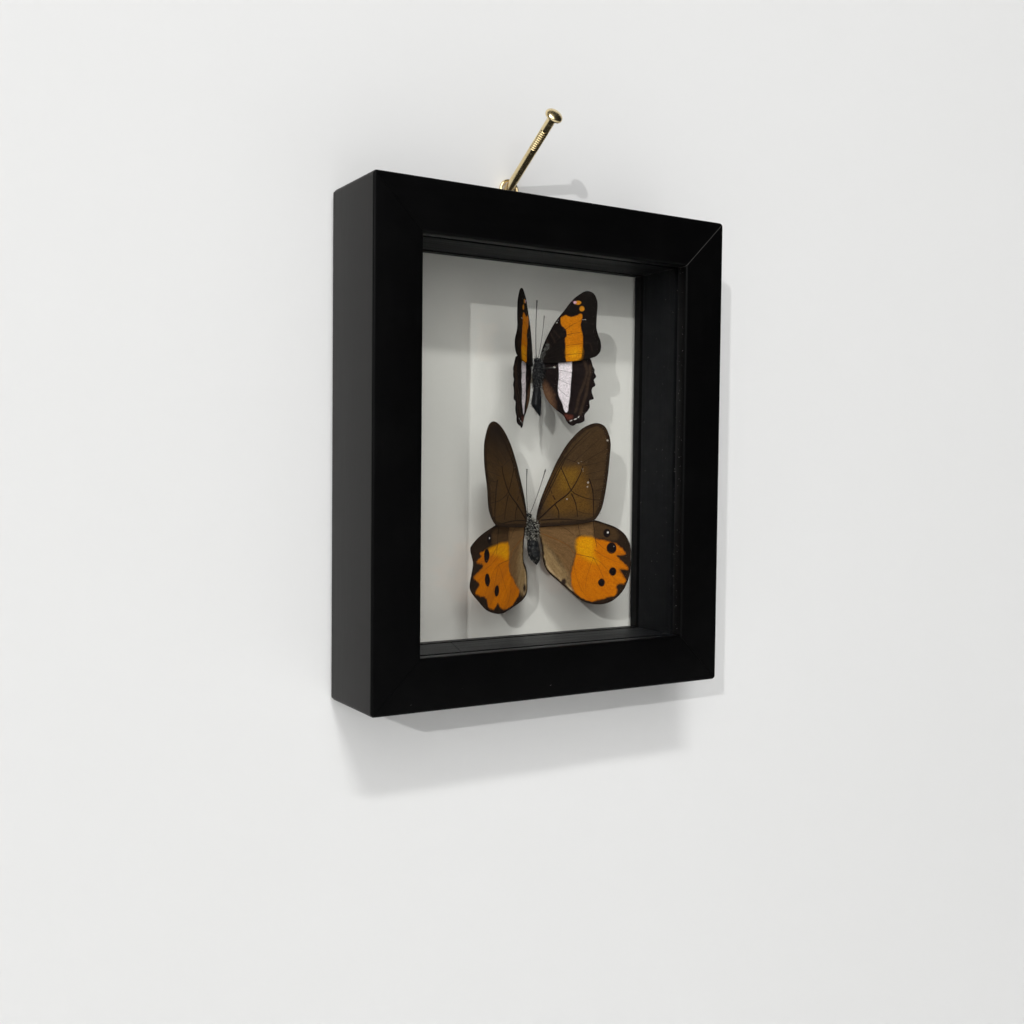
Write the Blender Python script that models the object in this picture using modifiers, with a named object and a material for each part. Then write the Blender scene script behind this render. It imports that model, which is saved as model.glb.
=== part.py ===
"""Two butterflies mounted between the panes of a small black see-through frame.

Metres, +Z up, the front looks along -Y and the wall is the plane Y = 0.
The origin is where the hanging nail enters the wall.
"""
import math

import bmesh
import bpy
from mathutils import Matrix, Vector

MM = 0.001

# Driving sizes of the frame
FRAME_WIDTH = 125.0 * MM
FRAME_HEIGHT = 150.0 * MM
FRAME_DEPTH = 29.0 * MM
FACE_WIDTH = 15.4 * MM          # rail seen from the front
ARRIS = 0.9 * MM                # softened long edges of the moulding
LIP_DEPTH = 4.3 * MM            # front lip that the glass sits behind
STRIP_THICK = 2.7 * MM          # liner strips and rear beads
PANE_THICK = 2.0 * MM
CHAMBER_DEPTH = 17.0 * MM       # clear gap between the panes
GAP = 0.3 * MM                  # between pieces that touch
SEAM_FROM_LEFT = 19.0 * MM      # joint in the bottom liner, from the opening's left edge
SEAM_SKEW = 19.0                # degrees

# Hanger and nail
NAIL_DROP = 7.4 * MM            # the frame's top edge lies this far below the nail's wall point
FRAME_X = 2.3 * MM              # the frame hangs with its middle this far to the right of the nail
STAND_OFF = 1.3 * MM            # the hanger plate keeps the frame off the wall
PLATE_THICK = 0.7 * MM
PLATE_WIDTH = 8.0 * MM
NAIL_SLOPE = 32.6               # degrees above the horizontal
NAIL_RADIUS = 1.4 * MM
NAIL_HEAD = 2.8 * MM            # radius
NAIL_OUT = 33.4 * MM            # length in front of the wall
NAIL_IN = 10.0 * MM             # length inside the wall
RING_RADIUS = 3.0 * MM          # to the middle of the wire
RING_WIRE = 0.5 * MM

# Planes, from the wall forwards
BACK_Y = -STAND_OFF
FRONT_Y = BACK_Y - FRAME_DEPTH
LIP_BACK_Y = FRONT_Y + LIP_DEPTH
FRONT_PANE_BACK_Y = LIP_BACK_Y + GAP / 2 + PANE_THICK
REAR_PANE_FRONT_Y = FRONT_PANE_BACK_Y + CHAMBER_DEPTH
REAR_PANE_BACK_Y = REAR_PANE_FRONT_Y + PANE_THICK
TOP_Z = -NAIL_DROP
BOTTOM_Z = TOP_Z - FRAME_HEIGHT
MID_Z = (TOP_Z + BOTTOM_Z) / 2
OPEN_WIDTH = FRAME_WIDTH - 2 * FACE_WIDTH
OPEN_HEIGHT = FRAME_HEIGHT - 2 * FACE_WIDTH
REBATE = STRIP_THICK + GAP      # how far the rail is cut back behind its lip

# The two specimens, in millimetres until MM.  x and z place the wing roots from the frame's middle
# and bottom edge; each body station is (sideways, height, radius) from the middle of the thorax.
UPPER = {
    "name": "upper", "x": 2.15, "z": 103.2, "hinge_y": 19.5, "hinge_x": 1.2,
    "forewing_tilt": 41.0, "hindwing_tilt": 39.5, "left_drop": 1.2, "left_lean": 0.0,
    "body_x": 2.17, "body_y": 18.4, "body_z": 100.8, "pad_z": -3.0,
    "body": [
        (-0.35, 3.3, 0.0), (-0.35, 2.95, 0.65), (-0.35, 2.3, 0.95), (-0.1, 1.8, 0.9), (0.28, 1.3, 1.45),
        (0.1, -0.5, 1.7), (-0.25, -3.0, 1.6), (-0.31, -5.0, 1.3), (-0.31, -6.2, 1.15), (-0.24, -7.7, 1.4),
        (-0.42, -10.0, 1.62), (-0.48, -11.5, 1.66), (0.26, -13.4, 0.92), (1.06, -15.2, 0.0),
    ],
    "head": (-0.35, 2.3, 0.95), "antenna_forward": 0.20, "antennae": {-1: (0.122, 17.3), 1: (0.027, 12.7)},
}
LOWER = {
    "name": "lower", "x": 1.25, "z": 50.7, "hinge_y": 19.7, "hinge_x": 1.5,
    "forewing_tilt": 24.0, "hindwing_tilt": 23.0, "left_drop": 0.0, "left_lean": 1.7,
    "body_x": 1.24, "body_y": 19.45, "body_z": 50.3, "pad_z": 0.0,
    "body": [
        (-1.26, 4.9, 0.0), (-1.26, 4.65, 0.5), (-1.26, 4.1, 0.8), (-1.0, 3.3, 0.72), (-0.5, 2.6, 1.25),
        (-0.06, 1.7, 1.85), (0.0, -0.2, 1.95), (0.02, -1.8, 1.88), (0.25, -3.2, 1.55), (0.5, -4.6, 1.95),
        (0.7, -6.6, 2.1), (1.1, -8.5, 2.15), (1.5, -10.1, 1.5), (1.9, -11.7, 0.0),
    ],
    "head": (-1.26, 4.1, 0.8), "antenna_forward": 0.38, "antennae": {-1: (0.268, 14.9), 1: (0.152, 14.5)},
}
EYE_SHARE = 0.68                # eye radius over head radius
ANTENNA_RADIUS = 0.11 * MM
PIN_RADIUS = 0.2 * MM
PIN_OUT = 7.2 * MM              # the pin stands this far out of the upper thorax
PIN_BACK = 0.3 * MM             # its point stands this far out behind
PIN_DROP = 0.3 * MM             # below the middle of the thorax
PAD_RADIUS = 1.5 * MM
WING_THICK = 0.25 * MM
WING_LAP = 0.6 * MM             # the hindwing lies this far behind the forewing

# Wing outlines: span from the root, height above the middle of the thorax, in millimetres.
UPPER_FOREWING = [
    (1.0, 3.6), (2.2, 8.6), (6.5, 14.8), (11.2, 19.4), (14.7, 21.6), (17.2, 20.4), (18.2, 17.6),
    (17.8, 12.4), (18.6, 8.4), (19.3, 5.4), (18.8, 2.8), (16.6, 1.0), (8.6, 0.2), (1.0, -0.6),
]
UPPER_HINDWING = [
    (1.0, -0.9), (8.0, 1.6), (15.8, 0.8), (17.6, -3.6), (17.5, -8.0), (17.2, -12.2), (15.9, -15.6),
    (14.2, -19.2), (11.8, -20.7), (9.6, -19.6), (7.9, -17.9), (4.2, -14.4), (1.9, -10.3), (1.0, -5.0),
]
LOWER_FOREWING = [
    (1.0, 3.8), (1.9, 9.9), (5.0, 17.5), (8.5, 24.2), (12.8, 29.7), (17.3, 33.0), (20.0, 33.0),
    (22.3, 30.6), (23.5, 27.0), (23.2, 21.0), (22.4, 15.2), (21.2, 8.7), (18.8, 2.9), (9.5, 2.2),
    (1.0, 0.6),
]
LOWER_HINDWING = [
    (1.5, 0.2), (8.0, 3.6), (16.0, 3.9), (23.7, 1.0), (28.2, -2.2), (30.4, -7.0), (30.2, -13.0),
    (29.4, -18.2), (26.4, -22.0), (20.8, -24.7), (16.4, -24.2), (12.6, -22.2), (7.4, -17.4),
    (3.4, -13.6), (2.7, -9.0), (2.0, -4.0),
]
# The left hindwing's inner margin is not folded under, so it runs down beside the abdomen.
LOWER_HINDWING_LEFT = LOWER_HINDWING[:9] + [
    (20.8, -24.6), (15.4, -26.0), (9.0, -25.4), (4.4, -23.8), (0.6, -21.4), (-0.7, -17.2), (-0.4, -13.4),
    (1.2, -10.8), (1.6, -8.0),
]


def clear_scene():
    for item in list(bpy.data.objects):
        bpy.data.objects.remove(item, do_unlink=True)


def make_collection(name):
    collection = bpy.data.collections.new(name)
    bpy.context.scene.collection.children.link(collection)
    return collection


clear_scene()
PARTS = make_collection("framed_butterflies")
CUTTERS = make_collection("cutters")


def finish(name, color, roughness, metallic=0.0, transmission=0.0):
    material = bpy.data.materials.new(name)
    material.use_nodes = True
    shader = material.node_tree.nodes["Principled BSDF"]
    shader.inputs["Base Color"].default_value = (*color, 1.0)
    shader.inputs["Roughness"].default_value = roughness
    shader.inputs["Metallic"].default_value = metallic
    shader.inputs["Transmission Weight"].default_value = transmission
    return material


BLACK_WOOD = finish("black_stained_wood", (0.012, 0.012, 0.012), 0.38)
LINER = finish("charcoal_liner", (0.03, 0.03, 0.032), 0.55)
GLASS = finish("picture_glass", (0.95, 0.98, 0.96), 0.02, transmission=1.0)
BRASS = finish("brass", (0.75, 0.58, 0.28), 0.25, metallic=1.0)
STEEL = finish("pin_steel", (0.6, 0.6, 0.6), 0.3, metallic=1.0)
BODY_HAIR = finish("body_scales", (0.03, 0.03, 0.035), 0.8)
DARK_WING = finish("dark_brown_scales", (0.02, 0.012, 0.01), 0.7)
BROWN_WING = finish("brown_scales", (0.09, 0.05, 0.03), 0.7)
ORANGE_WING = finish("orange_scales", (0.65, 0.2, 0.01), 0.7)
GLUE = finish("clear_glue", (0.85, 0.82, 0.7), 0.2)


def add_object(name, mesh, material, collection=PARTS):
    item = bpy.data.objects.new(name, mesh)
    collection.objects.link(item)
    if material:
        item.data.materials.append(material)
    return item


def mesh_from(bm, name):
    bmesh.ops.recalc_face_normals(bm, faces=bm.faces)
    mesh = bpy.data.meshes.new(name)
    bm.to_mesh(mesh)
    bm.free()
    return mesh


def smooth(item, angle=40.0):
    item.data.shade_smooth()
    item.data.set_sharp_from_angle(angle=math.radians(angle))


def cut(item, cutter):
    cutter.hide_render = True
    cutter.display_type = "WIRE"
    boolean = item.modifiers.new("cut", "BOOLEAN")
    boolean.operation = "DIFFERENCE"
    boolean.object = cutter


def rounded_corner(center, radius, start, steps=3):
    """Points of a quarter turn that begins at angle start and turns clockwise, in degrees."""
    turns = [math.radians(start - 90.0 * i / steps) for i in range(steps + 1)]
    return [(center[0] + radius * math.cos(t), center[1] + radius * math.sin(t)) for t in turns]


def mitred_length(name, length, profile, material, turn, center):
    """A straight length with 45 degree ends.

    profile is a loop of (w, y): w runs inwards from the outer edge, y is the depth in the model.
    The length lies along the top side of the frame, and turn takes it round to its own side.
    """
    bm = bmesh.new()
    loop = [bm.verts.new((-length / 2, y, -w)) for w, y in profile]
    face = bm.faces.new(loop)
    moved = bmesh.ops.extrude_face_region(bm, geom=[face])["geom"]
    ends = [g for g in moved if isinstance(g, bmesh.types.BMVert)]
    bmesh.ops.translate(bm, verts=ends, vec=(length, 0.0, 0.0))
    for side in (-1, 1):
        geom = bm.verts[:] + bm.edges[:] + bm.faces[:]
        corner = Vector((side * (length / 2 - GAP / 2), 0.0, 0.0))
        outward = Vector((side, 0.0, -1.0)).normalized()
        bmesh.ops.bisect_plane(bm, geom=geom, plane_co=corner, plane_no=outward, clear_outer=True)
        rim = [e for e in bm.edges if e.is_boundary]
        bmesh.ops.holes_fill(bm, edges=rim)
    place = Matrix.Translation(center) @ Matrix.Rotation(math.radians(turn), 4, "Y")
    item = add_object(name, mesh_from(bm, name), material)
    item.matrix_world = place
    return item


def rail_profile():
    front, back, lip_back = FRONT_Y, BACK_Y, LIP_BACK_Y
    inner, rebate = FACE_WIDTH, FACE_WIDTH - REBATE
    points = rounded_corner((ARRIS, back - ARRIS), ARRIS, 180.0)
    points += [(rebate, back), (rebate, lip_back)]
    points += rounded_corner((inner - ARRIS / 2, lip_back - ARRIS / 2), ARRIS / 2, 90.0, 1)
    points += rounded_corner((inner - ARRIS, front + ARRIS), ARRIS, 0.0)
    points += rounded_corner((ARRIS, front + ARRIS), ARRIS, -90.0)
    return points


def strip_profile(front, back):
    outer, inner = FACE_WIDTH - STRIP_THICK, FACE_WIDTH
    return [(outer, back), (inner, back), (inner, front), (outer, front)]


# (side, turn about Y, length, centre of the outer edge)
SIDES = [
    ("top", 0.0, FRAME_WIDTH, Vector((FRAME_X, 0.0, TOP_Z))),
    ("right", 90.0, FRAME_HEIGHT, Vector((FRAME_X + FRAME_WIDTH / 2, 0.0, MID_Z))),
    ("bottom", 180.0, FRAME_WIDTH, Vector((FRAME_X, 0.0, BOTTOM_Z))),
    ("left", 270.0, FRAME_HEIGHT, Vector((FRAME_X - FRAME_WIDTH / 2, 0.0, MID_Z))),
]


def make_rails():
    rails = {}
    for side, turn, length, center in SIDES:
        rails[side] = mitred_length("rail_" + side, length, rail_profile(), BLACK_WOOD, turn, center)
    return rails


def make_box(name, low, high, material, collection=PARTS):
    bm = bmesh.new()
    bmesh.ops.create_cube(bm, size=1.0)
    size = Vector(high) - Vector(low)
    middle = (Vector(high) + Vector(low)) / 2
    bmesh.ops.scale(bm, verts=bm.verts, vec=size)
    bmesh.ops.translate(bm, verts=bm.verts, vec=middle)
    return add_object(name, mesh_from(bm, name), material, collection)


def make_pane(name, front, back):
    reach_x = OPEN_WIDTH / 2 + STRIP_THICK
    reach_z = OPEN_HEIGHT / 2 + STRIP_THICK
    low = (FRAME_X - reach_x, front, MID_Z - reach_z)
    high = (FRAME_X + reach_x, back, MID_Z + reach_z)
    return make_box(name, low, high, GLASS)


def make_strips():
    liner_front = FRONT_PANE_BACK_Y + GAP / 2
    liner_back = REAR_PANE_FRONT_Y - GAP / 2
    bead_front = REAR_PANE_BACK_Y + GAP
    for side, turn, length, center in SIDES:
        bead = strip_profile(bead_front, BACK_Y - GAP)
        mitred_length("bead_" + side, length, bead, BLACK_WOOD, turn, center)
        if side != "bottom":
            liner = strip_profile(liner_front, liner_back)
            mitred_length("liner_" + side, length, liner, LINER, turn, center)
    # The bottom liner is two lengths that meet at a skewed joint.
    _, turn, length, center = SIDES[2]
    liner = strip_profile(liner_front, liner_back)
    seam_x = FRAME_X - OPEN_WIDTH / 2 + SEAM_FROM_LEFT
    seam = Vector((seam_x, (liner_front + liner_back) / 2, 0.0))
    away = Matrix.Rotation(math.radians(-SEAM_SKEW), 3, "Z") @ Vector((1.0, 0.0, 0.0))
    for name, keep in (("liner_bottom_short", -1.0), ("liner_bottom_long", 1.0)):
        item = mitred_length(name, length, liner, LINER, turn, center)
        item.data.transform(item.matrix_world)
        item.matrix_world = Matrix.Identity(4)
        bm = bmesh.new()
        bm.from_mesh(item.data)
        geom = bm.verts[:] + bm.edges[:] + bm.faces[:]
        point = seam + away * keep * GAP / 2
        bmesh.ops.bisect_plane(bm, geom=geom, plane_co=point, plane_no=-away * keep, clear_outer=True)
        bmesh.ops.holes_fill(bm, edges=[e for e in bm.edges if e.is_boundary])
        bmesh.ops.recalc_face_normals(bm, faces=bm.faces)
        bm.to_mesh(item.data)
        bm.free()


def turned(name, profile, material, steps=16, collection=PARTS):
    """A turned shape about Z from (radius, height) points that run from the top down."""
    bm = bmesh.new()
    verts = [bm.verts.new((r, 0.0, z)) for r, z in profile]
    for a, b in zip(verts, verts[1:]):
        bm.edges.new((a, b))
    mesh = bpy.data.meshes.new(name)
    bm.to_mesh(mesh)
    bm.free()
    item = add_object(name, mesh, material, collection)
    screw = item.modifiers.new("turn", "SCREW")
    screw.steps = steps
    screw.render_steps = steps
    screw.use_merge_vertices = True
    screw.merge_threshold = 0.00001
    return item


def made_solid(item):
    """Turn an object's evaluated shape into a plain mesh that other pieces can be cut by."""
    graph = bpy.context.evaluated_depsgraph_get()
    mesh = bpy.data.meshes.new_from_object(item.evaluated_get(graph))
    bm = bmesh.new()
    bm.from_mesh(mesh)
    bmesh.ops.remove_doubles(bm, verts=bm.verts, dist=0.00001)
    bmesh.ops.recalc_face_normals(bm, faces=bm.faces)
    bm.to_mesh(mesh)
    bm.free()
    solid = bpy.data.objects.new(item.name, mesh)
    solid.matrix_world = item.matrix_world
    item.users_collection[0].objects.link(solid)
    name = item.name
    bpy.data.objects.remove(item, do_unlink=True)
    solid.name = name
    return solid


def flat_shape(name, points, thickness, material, closeness=3):
    """A flat plate in its own XY plane, with a smooth outline through the points."""
    curve = bpy.data.curves.new(name, "CURVE")
    curve.dimensions = "2D"
    curve.fill_mode = "BOTH"
    curve.extrude = thickness / 2
    curve.resolution_u = closeness
    spline = curve.splines.new("BEZIER")
    spline.bezier_points.add(len(points) - 1)
    for knot, (u, v) in zip(spline.bezier_points, points):
        knot.co = (u, v, 0.0)
        knot.handle_left_type = "AUTO"
        knot.handle_right_type = "AUTO"
    spline.use_cyclic_u = True
    item = bpy.data.objects.new(name, curve)
    PARTS.objects.link(item)
    curve.materials.append(material)
    return made_solid(item)


def screw_profile(extra):
    head, shank, depth = 1.5 * MM + extra, 0.8 * MM + extra, PLATE_THICK
    tip = 7.5 * MM + extra
    top = extra
    return [(0.0, top), (head, top), (head, 0.0), (shank, -depth), (shank, -tip + 2 * MM), (0.0, -tip)]


def make_hanger(rail_top):
    plate_y = BACK_Y + GAP + PLATE_THICK / 2
    ring_y = BACK_Y
    slope = math.radians(NAIL_SLOPE)
    nail_top = -ring_y * math.tan(slope) + NAIL_RADIUS / math.cos(slope)
    ring_z = nail_top + (RING_WIRE + GAP) / math.cos(slope) - RING_RADIUS
    eye_z = ring_z - RING_RADIUS + 0.17 * MM
    eye_radius, bore, eye_half = 1.15 * MM, 0.78 * MM, 1.6 * MM

    # The strap: a broad foot on the rail and a neck that rises to the eye.
    foot, neck = PLATE_WIDTH / 2 + MM, eye_half
    low, shoulder = TOP_Z - 11.4 * MM, TOP_Z - 3.6 * MM
    outline = [
        (-foot, low + MM), (-foot + MM, low), (foot - MM, low), (foot, low + MM), (foot, shoulder - 2 * MM),
        (foot - 1.4 * MM, shoulder - 0.4 * MM), (neck, shoulder + 1.6 * MM), (neck, eye_z), (-neck, eye_z),
        (-neck, shoulder + 1.6 * MM), (-foot + 1.4 * MM, shoulder - 0.4 * MM), (-foot, shoulder - 2 * MM),
    ]
    bm = bmesh.new()
    face = bm.faces.new([bm.verts.new((x, plate_y - PLATE_THICK / 2, z)) for x, z in outline])
    moved = bmesh.ops.extrude_face_region(bm, geom=[face])["geom"]
    verts = [g for g in moved if isinstance(g, bmesh.types.BMVert)]
    bmesh.ops.translate(bm, verts=verts, vec=(0.0, PLATE_THICK, 0.0))
    plate = add_object("hanger_plate", mesh_from(bm, "hanger_plate"), BRASS)
    for radius, half, operation in ((eye_radius, eye_half, "UNION"), (bore, eye_half + MM, "DIFFERENCE")):
        bm = bmesh.new()
        bmesh.ops.create_cone(bm, cap_ends=True, segments=20, radius1=radius, radius2=radius, depth=2 * half)
        tool = add_object("eye_" + operation.lower(), mesh_from(bm, "eye"), None, CUTTERS)
        tool.rotation_euler.y = math.radians(90.0)
        tool.location = (0.0, ring_y, eye_z)
        tool.hide_render = True
        tool.display_type = "WIRE"
        boolean = plate.modifiers.new(operation.lower(), "BOOLEAN")
        boolean.operation = operation
        boolean.object = tool

    bpy.ops.mesh.primitive_torus_add(
        major_radius=RING_RADIUS, minor_radius=RING_WIRE, major_segments=32, minor_segments=8,
        location=(0.0, ring_y, ring_z), rotation=(math.radians(90.0), 0.0, 0.0))
    ring = bpy.context.object
    ring.name = "hanger_ring"
    ring.data.materials.append(BRASS)
    for home in list(ring.users_collection):
        home.objects.unlink(ring)
    PARTS.objects.link(ring)
    smooth(ring)

    for side, word in ((-1, "left"), (1, "right")):
        place = (side * 2.6 * MM, plate_y + PLATE_THICK / 2 - 0.05 * MM, TOP_Z - 7.4 * MM)
        screw = turned("hanger_screw_" + word, screw_profile(0.0), BRASS)
        hole = made_solid(turned("screw_hole_" + word, screw_profile(GAP), None, collection=CUTTERS))
        for item in (screw, hole):
            item.rotation_euler.x = math.radians(-90.0)
            item.location = place
        cut(plate, hole)
        cut(rail_top, hole)


def make_nail():
    head, dome, rim = NAIL_HEAD, 1.2 * MM, 0.6 * MM
    top = NAIL_OUT
    arc = [math.radians(90.0 - 18.0 * i) for i in range(6)]
    profile = [(head * math.cos(a), top - dome + dome * math.sin(a)) for a in arc]
    profile[0] = (0.0, top)
    profile += [(head * 0.9, top - dome - rim), (NAIL_RADIUS, top - dome - rim - 0.3 * MM)]
    profile += [(NAIL_RADIUS * 0.95, -NAIL_IN + 3 * MM), (0.0, -NAIL_IN)]
    nail = turned("nail", profile, BRASS, steps=18)
    nail.rotation_euler.x = math.radians(90.0 - NAIL_SLOPE)


def from_front(depth):
    """Model Y of a point that lies depth millimetres behind the frame's front."""
    return FRONT_Y + depth * MM


def body_point(kind):
    """The middle of the thorax."""
    return Vector((
        FRAME_X + kind["body_x"] * MM, from_front(kind["body_y"]), BOTTOM_Z + kind["body_z"] * MM))


def head_point(kind):
    across, height, _ = kind["head"]
    return body_point(kind) + Vector((across, 0.0, height)) * MM


def make_body(kind):
    """One closed skin lofted over round stations from the head down to the tip of the abdomen."""
    sides = 14
    bm = bmesh.new()
    rings = []
    for across, height, radius in kind["body"]:
        corners = [2.0 * math.pi * i / sides for i in range(sides)] if radius else [0.0]
        rings.append([
            bm.verts.new(Vector((across + radius * math.cos(a), radius * math.sin(a), height)) * MM)
            for a in corners])
    for upper, lower in zip(rings, rings[1:]):
        for i in range(sides):
            after = (i + 1) % sides
            if len(upper) == 1:
                bm.faces.new((upper[0], lower[i], lower[after]))
            elif len(lower) == 1:
                bm.faces.new((upper[after], upper[i], lower[0]))
            else:
                bm.faces.new((upper[after], upper[i], lower[i], lower[after]))
    bmesh.ops.recalc_face_normals(bm, faces=bm.faces)
    body = add_object(kind["name"] + "_body", mesh_from(bm, kind["name"] + "_body"), BODY_HAIR)
    smooth(body)
    body.location = body_point(kind)
    head = kind["head"][2] * MM
    for side in (-1, 1):
        bm = bmesh.new()
        bmesh.ops.create_uvsphere(bm, u_segments=10, v_segments=7, radius=head * EYE_SHARE)
        eye = add_object(kind["name"] + "_eye", mesh_from(bm, "eye"), None, CUTTERS)
        eye.location = head_point(kind) + Vector((side * 0.72 * head, -0.23 * head, 0.09 * head))
        eye.hide_render = True
        eye.display_type = "WIRE"
        union = body.modifiers.new("eye", "BOOLEAN")
        union.operation = "UNION"
        union.object = eye
    return body


def make_wing(kind, wing, side, outline):
    """A wing plate that rises towards the front pane from its root beside the thorax."""
    word = "left" if side < 0 else "right"
    name = kind["name"] + "_" + wing + "_" + word
    points = [(u * MM, v * MM) for u, v in outline]
    plate = flat_shape(name, points, WING_THICK, WING_FINISH[kind["name"] + "_" + wing])
    tilt = math.radians(kind[wing + "_tilt"])
    span = Vector((side * math.cos(tilt), -math.sin(tilt), 0.0))
    up = Vector((0.0, 0.0, 1.0))
    turn = Matrix((span, up, span.cross(up))).transposed().to_4x4()
    lap = WING_LAP if wing == "hindwing" else 0.0
    drop = kind["left_drop"] * MM if side < 0 else 0.0
    lean = math.radians(kind["left_lean"]) if side < 0 and wing == "forewing" else 0.0
    root = Vector((
        FRAME_X + (kind["x"] + side * kind["hinge_x"]) * MM,
        from_front(kind["hinge_y"]) + lap,
        BOTTOM_Z + kind["z"] * MM - drop))
    plate.matrix_world = Matrix.Translation(root) @ turn @ Matrix.Rotation(-lean, 4, "Z")


WING_FINISH = {
    "upper_forewing": DARK_WING, "upper_hindwing": DARK_WING,
    "lower_forewing": BROWN_WING, "lower_hindwing": ORANGE_WING,
}


def make_antenna(kind, side, splay, length):
    name = kind["name"] + "_antenna_" + ("left" if side < 0 else "right")
    heading = Vector((side * splay, -kind["antenna_forward"], 1.0)).normalized()
    offset = Vector((side * 0.35 * MM, 0.0, 0.0))
    start = head_point(kind) + offset + heading * (kind["head"][2] * MM + GAP + 0.25 * MM)
    count = 9
    curve = bpy.data.curves.new(name, "CURVE")
    curve.dimensions = "3D"
    curve.bevel_depth = ANTENNA_RADIUS
    curve.bevel_resolution = 1
    curve.use_fill_caps = True
    spline = curve.splines.new("POLY")
    spline.points.add(count - 1)
    for i, point in enumerate(spline.points):
        t = i / (count - 1)
        bow = Vector((side, 0.0, 0.0)) * 0.25 * MM * math.sin(math.pi * t)
        spot = start + heading * (t * length * MM) + bow
        point.co = (*spot, 1.0)
        point.radius = 1.0 if t < 0.8 else 1.0 + 6.0 * (t - 0.8)
    item = bpy.data.objects.new(name, curve)
    PARTS.objects.link(item)
    curve.materials.append(BODY_HAIR)
    made_solid(item)


def make_pin(body):
    """The insect pin goes right through the upper thorax and stands out towards the front pane."""
    thorax = 1.8 * MM
    back = thorax + PIN_BACK
    out = thorax + PIN_OUT
    bead = 0.42 * MM
    arc = [math.radians(90.0 - 30.0 * i) for i in range(6)]
    profile = [(bead * math.cos(a), out + bead * math.sin(a)) for a in arc[:5]]
    profile[0] = (0.0, out + bead)
    profile += [(PIN_RADIUS, out - bead), (PIN_RADIUS, -back), (0.0, -back - 0.3 * MM)]
    bore = [(0.0, out), (PIN_RADIUS + GAP, out), (PIN_RADIUS + GAP, -out), (0.0, -out)]
    place = body.location + Vector((0.3 * MM, 0.0, -PIN_DROP))
    pin = turned("upper_pin", profile, STEEL, steps=10)
    hole = made_solid(turned("pin_bore", bore, None, steps=10, collection=CUTTERS))
    for item in (pin, hole):
        item.rotation_euler.x = math.radians(90.0)
        item.location = place
    cut(body, hole)


def make_pad(kind):
    """A blob of glue between the back of the thorax and the rear pane."""
    radius = max(
        r for _, height, r in kind["body"] if abs(height - kind["pad_z"]) < 2.0)
    front = from_front(kind["body_y"] + radius) + GAP
    thick = REAR_PANE_FRONT_Y - GAP - front
    profile = [(0.0, 0.0), (PAD_RADIUS * 0.7, 0.0), (PAD_RADIUS, -thick * 0.6), (PAD_RADIUS, -thick), (0.0, -thick)]
    pad = turned(kind["name"] + "_glue_pad", profile, GLUE, steps=16)
    pad.rotation_euler.x = math.radians(90.0)
    pad.location = body_point(kind) + Vector((0.0, 0.0, kind["pad_z"] * MM))
    pad.location.y = front


def make_butterfly(kind, forewing, hindwing, hindwing_left):
    body = make_body(kind)
    for side in (-1, 1):
        make_wing(kind, "forewing", side, forewing)
        make_wing(kind, "hindwing", side, hindwing_left if side < 0 else hindwing)
    for side, (splay, length) in kind["antennae"].items():
        make_antenna(kind, side, splay, length)
    make_pad(kind)
    return body


rails = make_rails()
make_pane("front_glass", LIP_BACK_Y + GAP / 2, FRONT_PANE_BACK_Y)
make_pane("rear_glass", REAR_PANE_FRONT_Y, REAR_PANE_BACK_Y)
make_strips()
make_hanger(rails["top"])
make_nail()
make_pin(make_butterfly(UPPER, UPPER_FOREWING, UPPER_HINDWING, UPPER_HINDWING))
make_butterfly(LOWER, LOWER_FOREWING, LOWER_HINDWING, LOWER_HINDWING_LEFT)
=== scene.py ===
import math

import bmesh
import bpy
import numpy as np
from mathutils import Matrix, Vector
from mathutils.geometry import delaunay_2d_cdt


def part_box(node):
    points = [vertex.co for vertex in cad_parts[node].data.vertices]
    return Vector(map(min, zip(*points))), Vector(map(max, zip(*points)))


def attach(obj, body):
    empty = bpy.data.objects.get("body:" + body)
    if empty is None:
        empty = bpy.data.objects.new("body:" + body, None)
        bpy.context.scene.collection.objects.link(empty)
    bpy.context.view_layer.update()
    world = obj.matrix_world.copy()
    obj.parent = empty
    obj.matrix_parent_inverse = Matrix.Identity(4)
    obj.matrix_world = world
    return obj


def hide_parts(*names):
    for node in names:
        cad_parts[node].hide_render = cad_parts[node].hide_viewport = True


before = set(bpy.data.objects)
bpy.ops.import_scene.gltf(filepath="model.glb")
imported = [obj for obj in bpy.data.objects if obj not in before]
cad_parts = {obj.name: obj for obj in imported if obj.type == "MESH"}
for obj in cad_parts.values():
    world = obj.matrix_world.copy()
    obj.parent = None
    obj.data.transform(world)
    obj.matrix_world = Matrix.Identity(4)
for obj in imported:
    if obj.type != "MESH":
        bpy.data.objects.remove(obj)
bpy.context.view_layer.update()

# ---------------------------------------------------------------------------
# Frame moulding
# Four lengths of close-grained wood, mitred at 45 degrees, stained black and
# rubbed to a satin. The long edges are eased and the outer corners sanded round.
# ---------------------------------------------------------------------------
MM = 0.001
RAIL_LOW, RAIL_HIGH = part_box("rail_bottom")[0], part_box("rail_top")[1]
FRAME_WIDTH = RAIL_HIGH[0] - RAIL_LOW[0]
FRAME_HEIGHT = RAIL_HIGH[2] - RAIL_LOW[2]
FRONT_Y, BACK_Y = RAIL_LOW[1], RAIL_HIGH[1]
BOTTOM_Z, TOP_Z = RAIL_LOW[2], RAIL_HIGH[2]
CENTER_X, MID_Z = (RAIL_LOW[0] + RAIL_HIGH[0]) / 2, (BOTTOM_Z + TOP_Z) / 2
FACE_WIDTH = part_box("rail_top")[1][2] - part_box("rail_top")[0][2]
LIP_DEPTH = 4.3 * MM
REBATE = 3.0 * MM
EASED_EDGE = 0.9 * MM
CORNER_ROUND = 1.8 * MM
MITRE_GAP = 0.06 * MM
OUTER_FADE = 3.0 * MM            # the corner rounding dies out this far in from the outer edge
CORNER_REACH = 0.29 * CORNER_ROUND
STATIONS = [0.0, 0.22, 0.6, 0.9, 1.6, 4.0, 12.0, 30.0]
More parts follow.
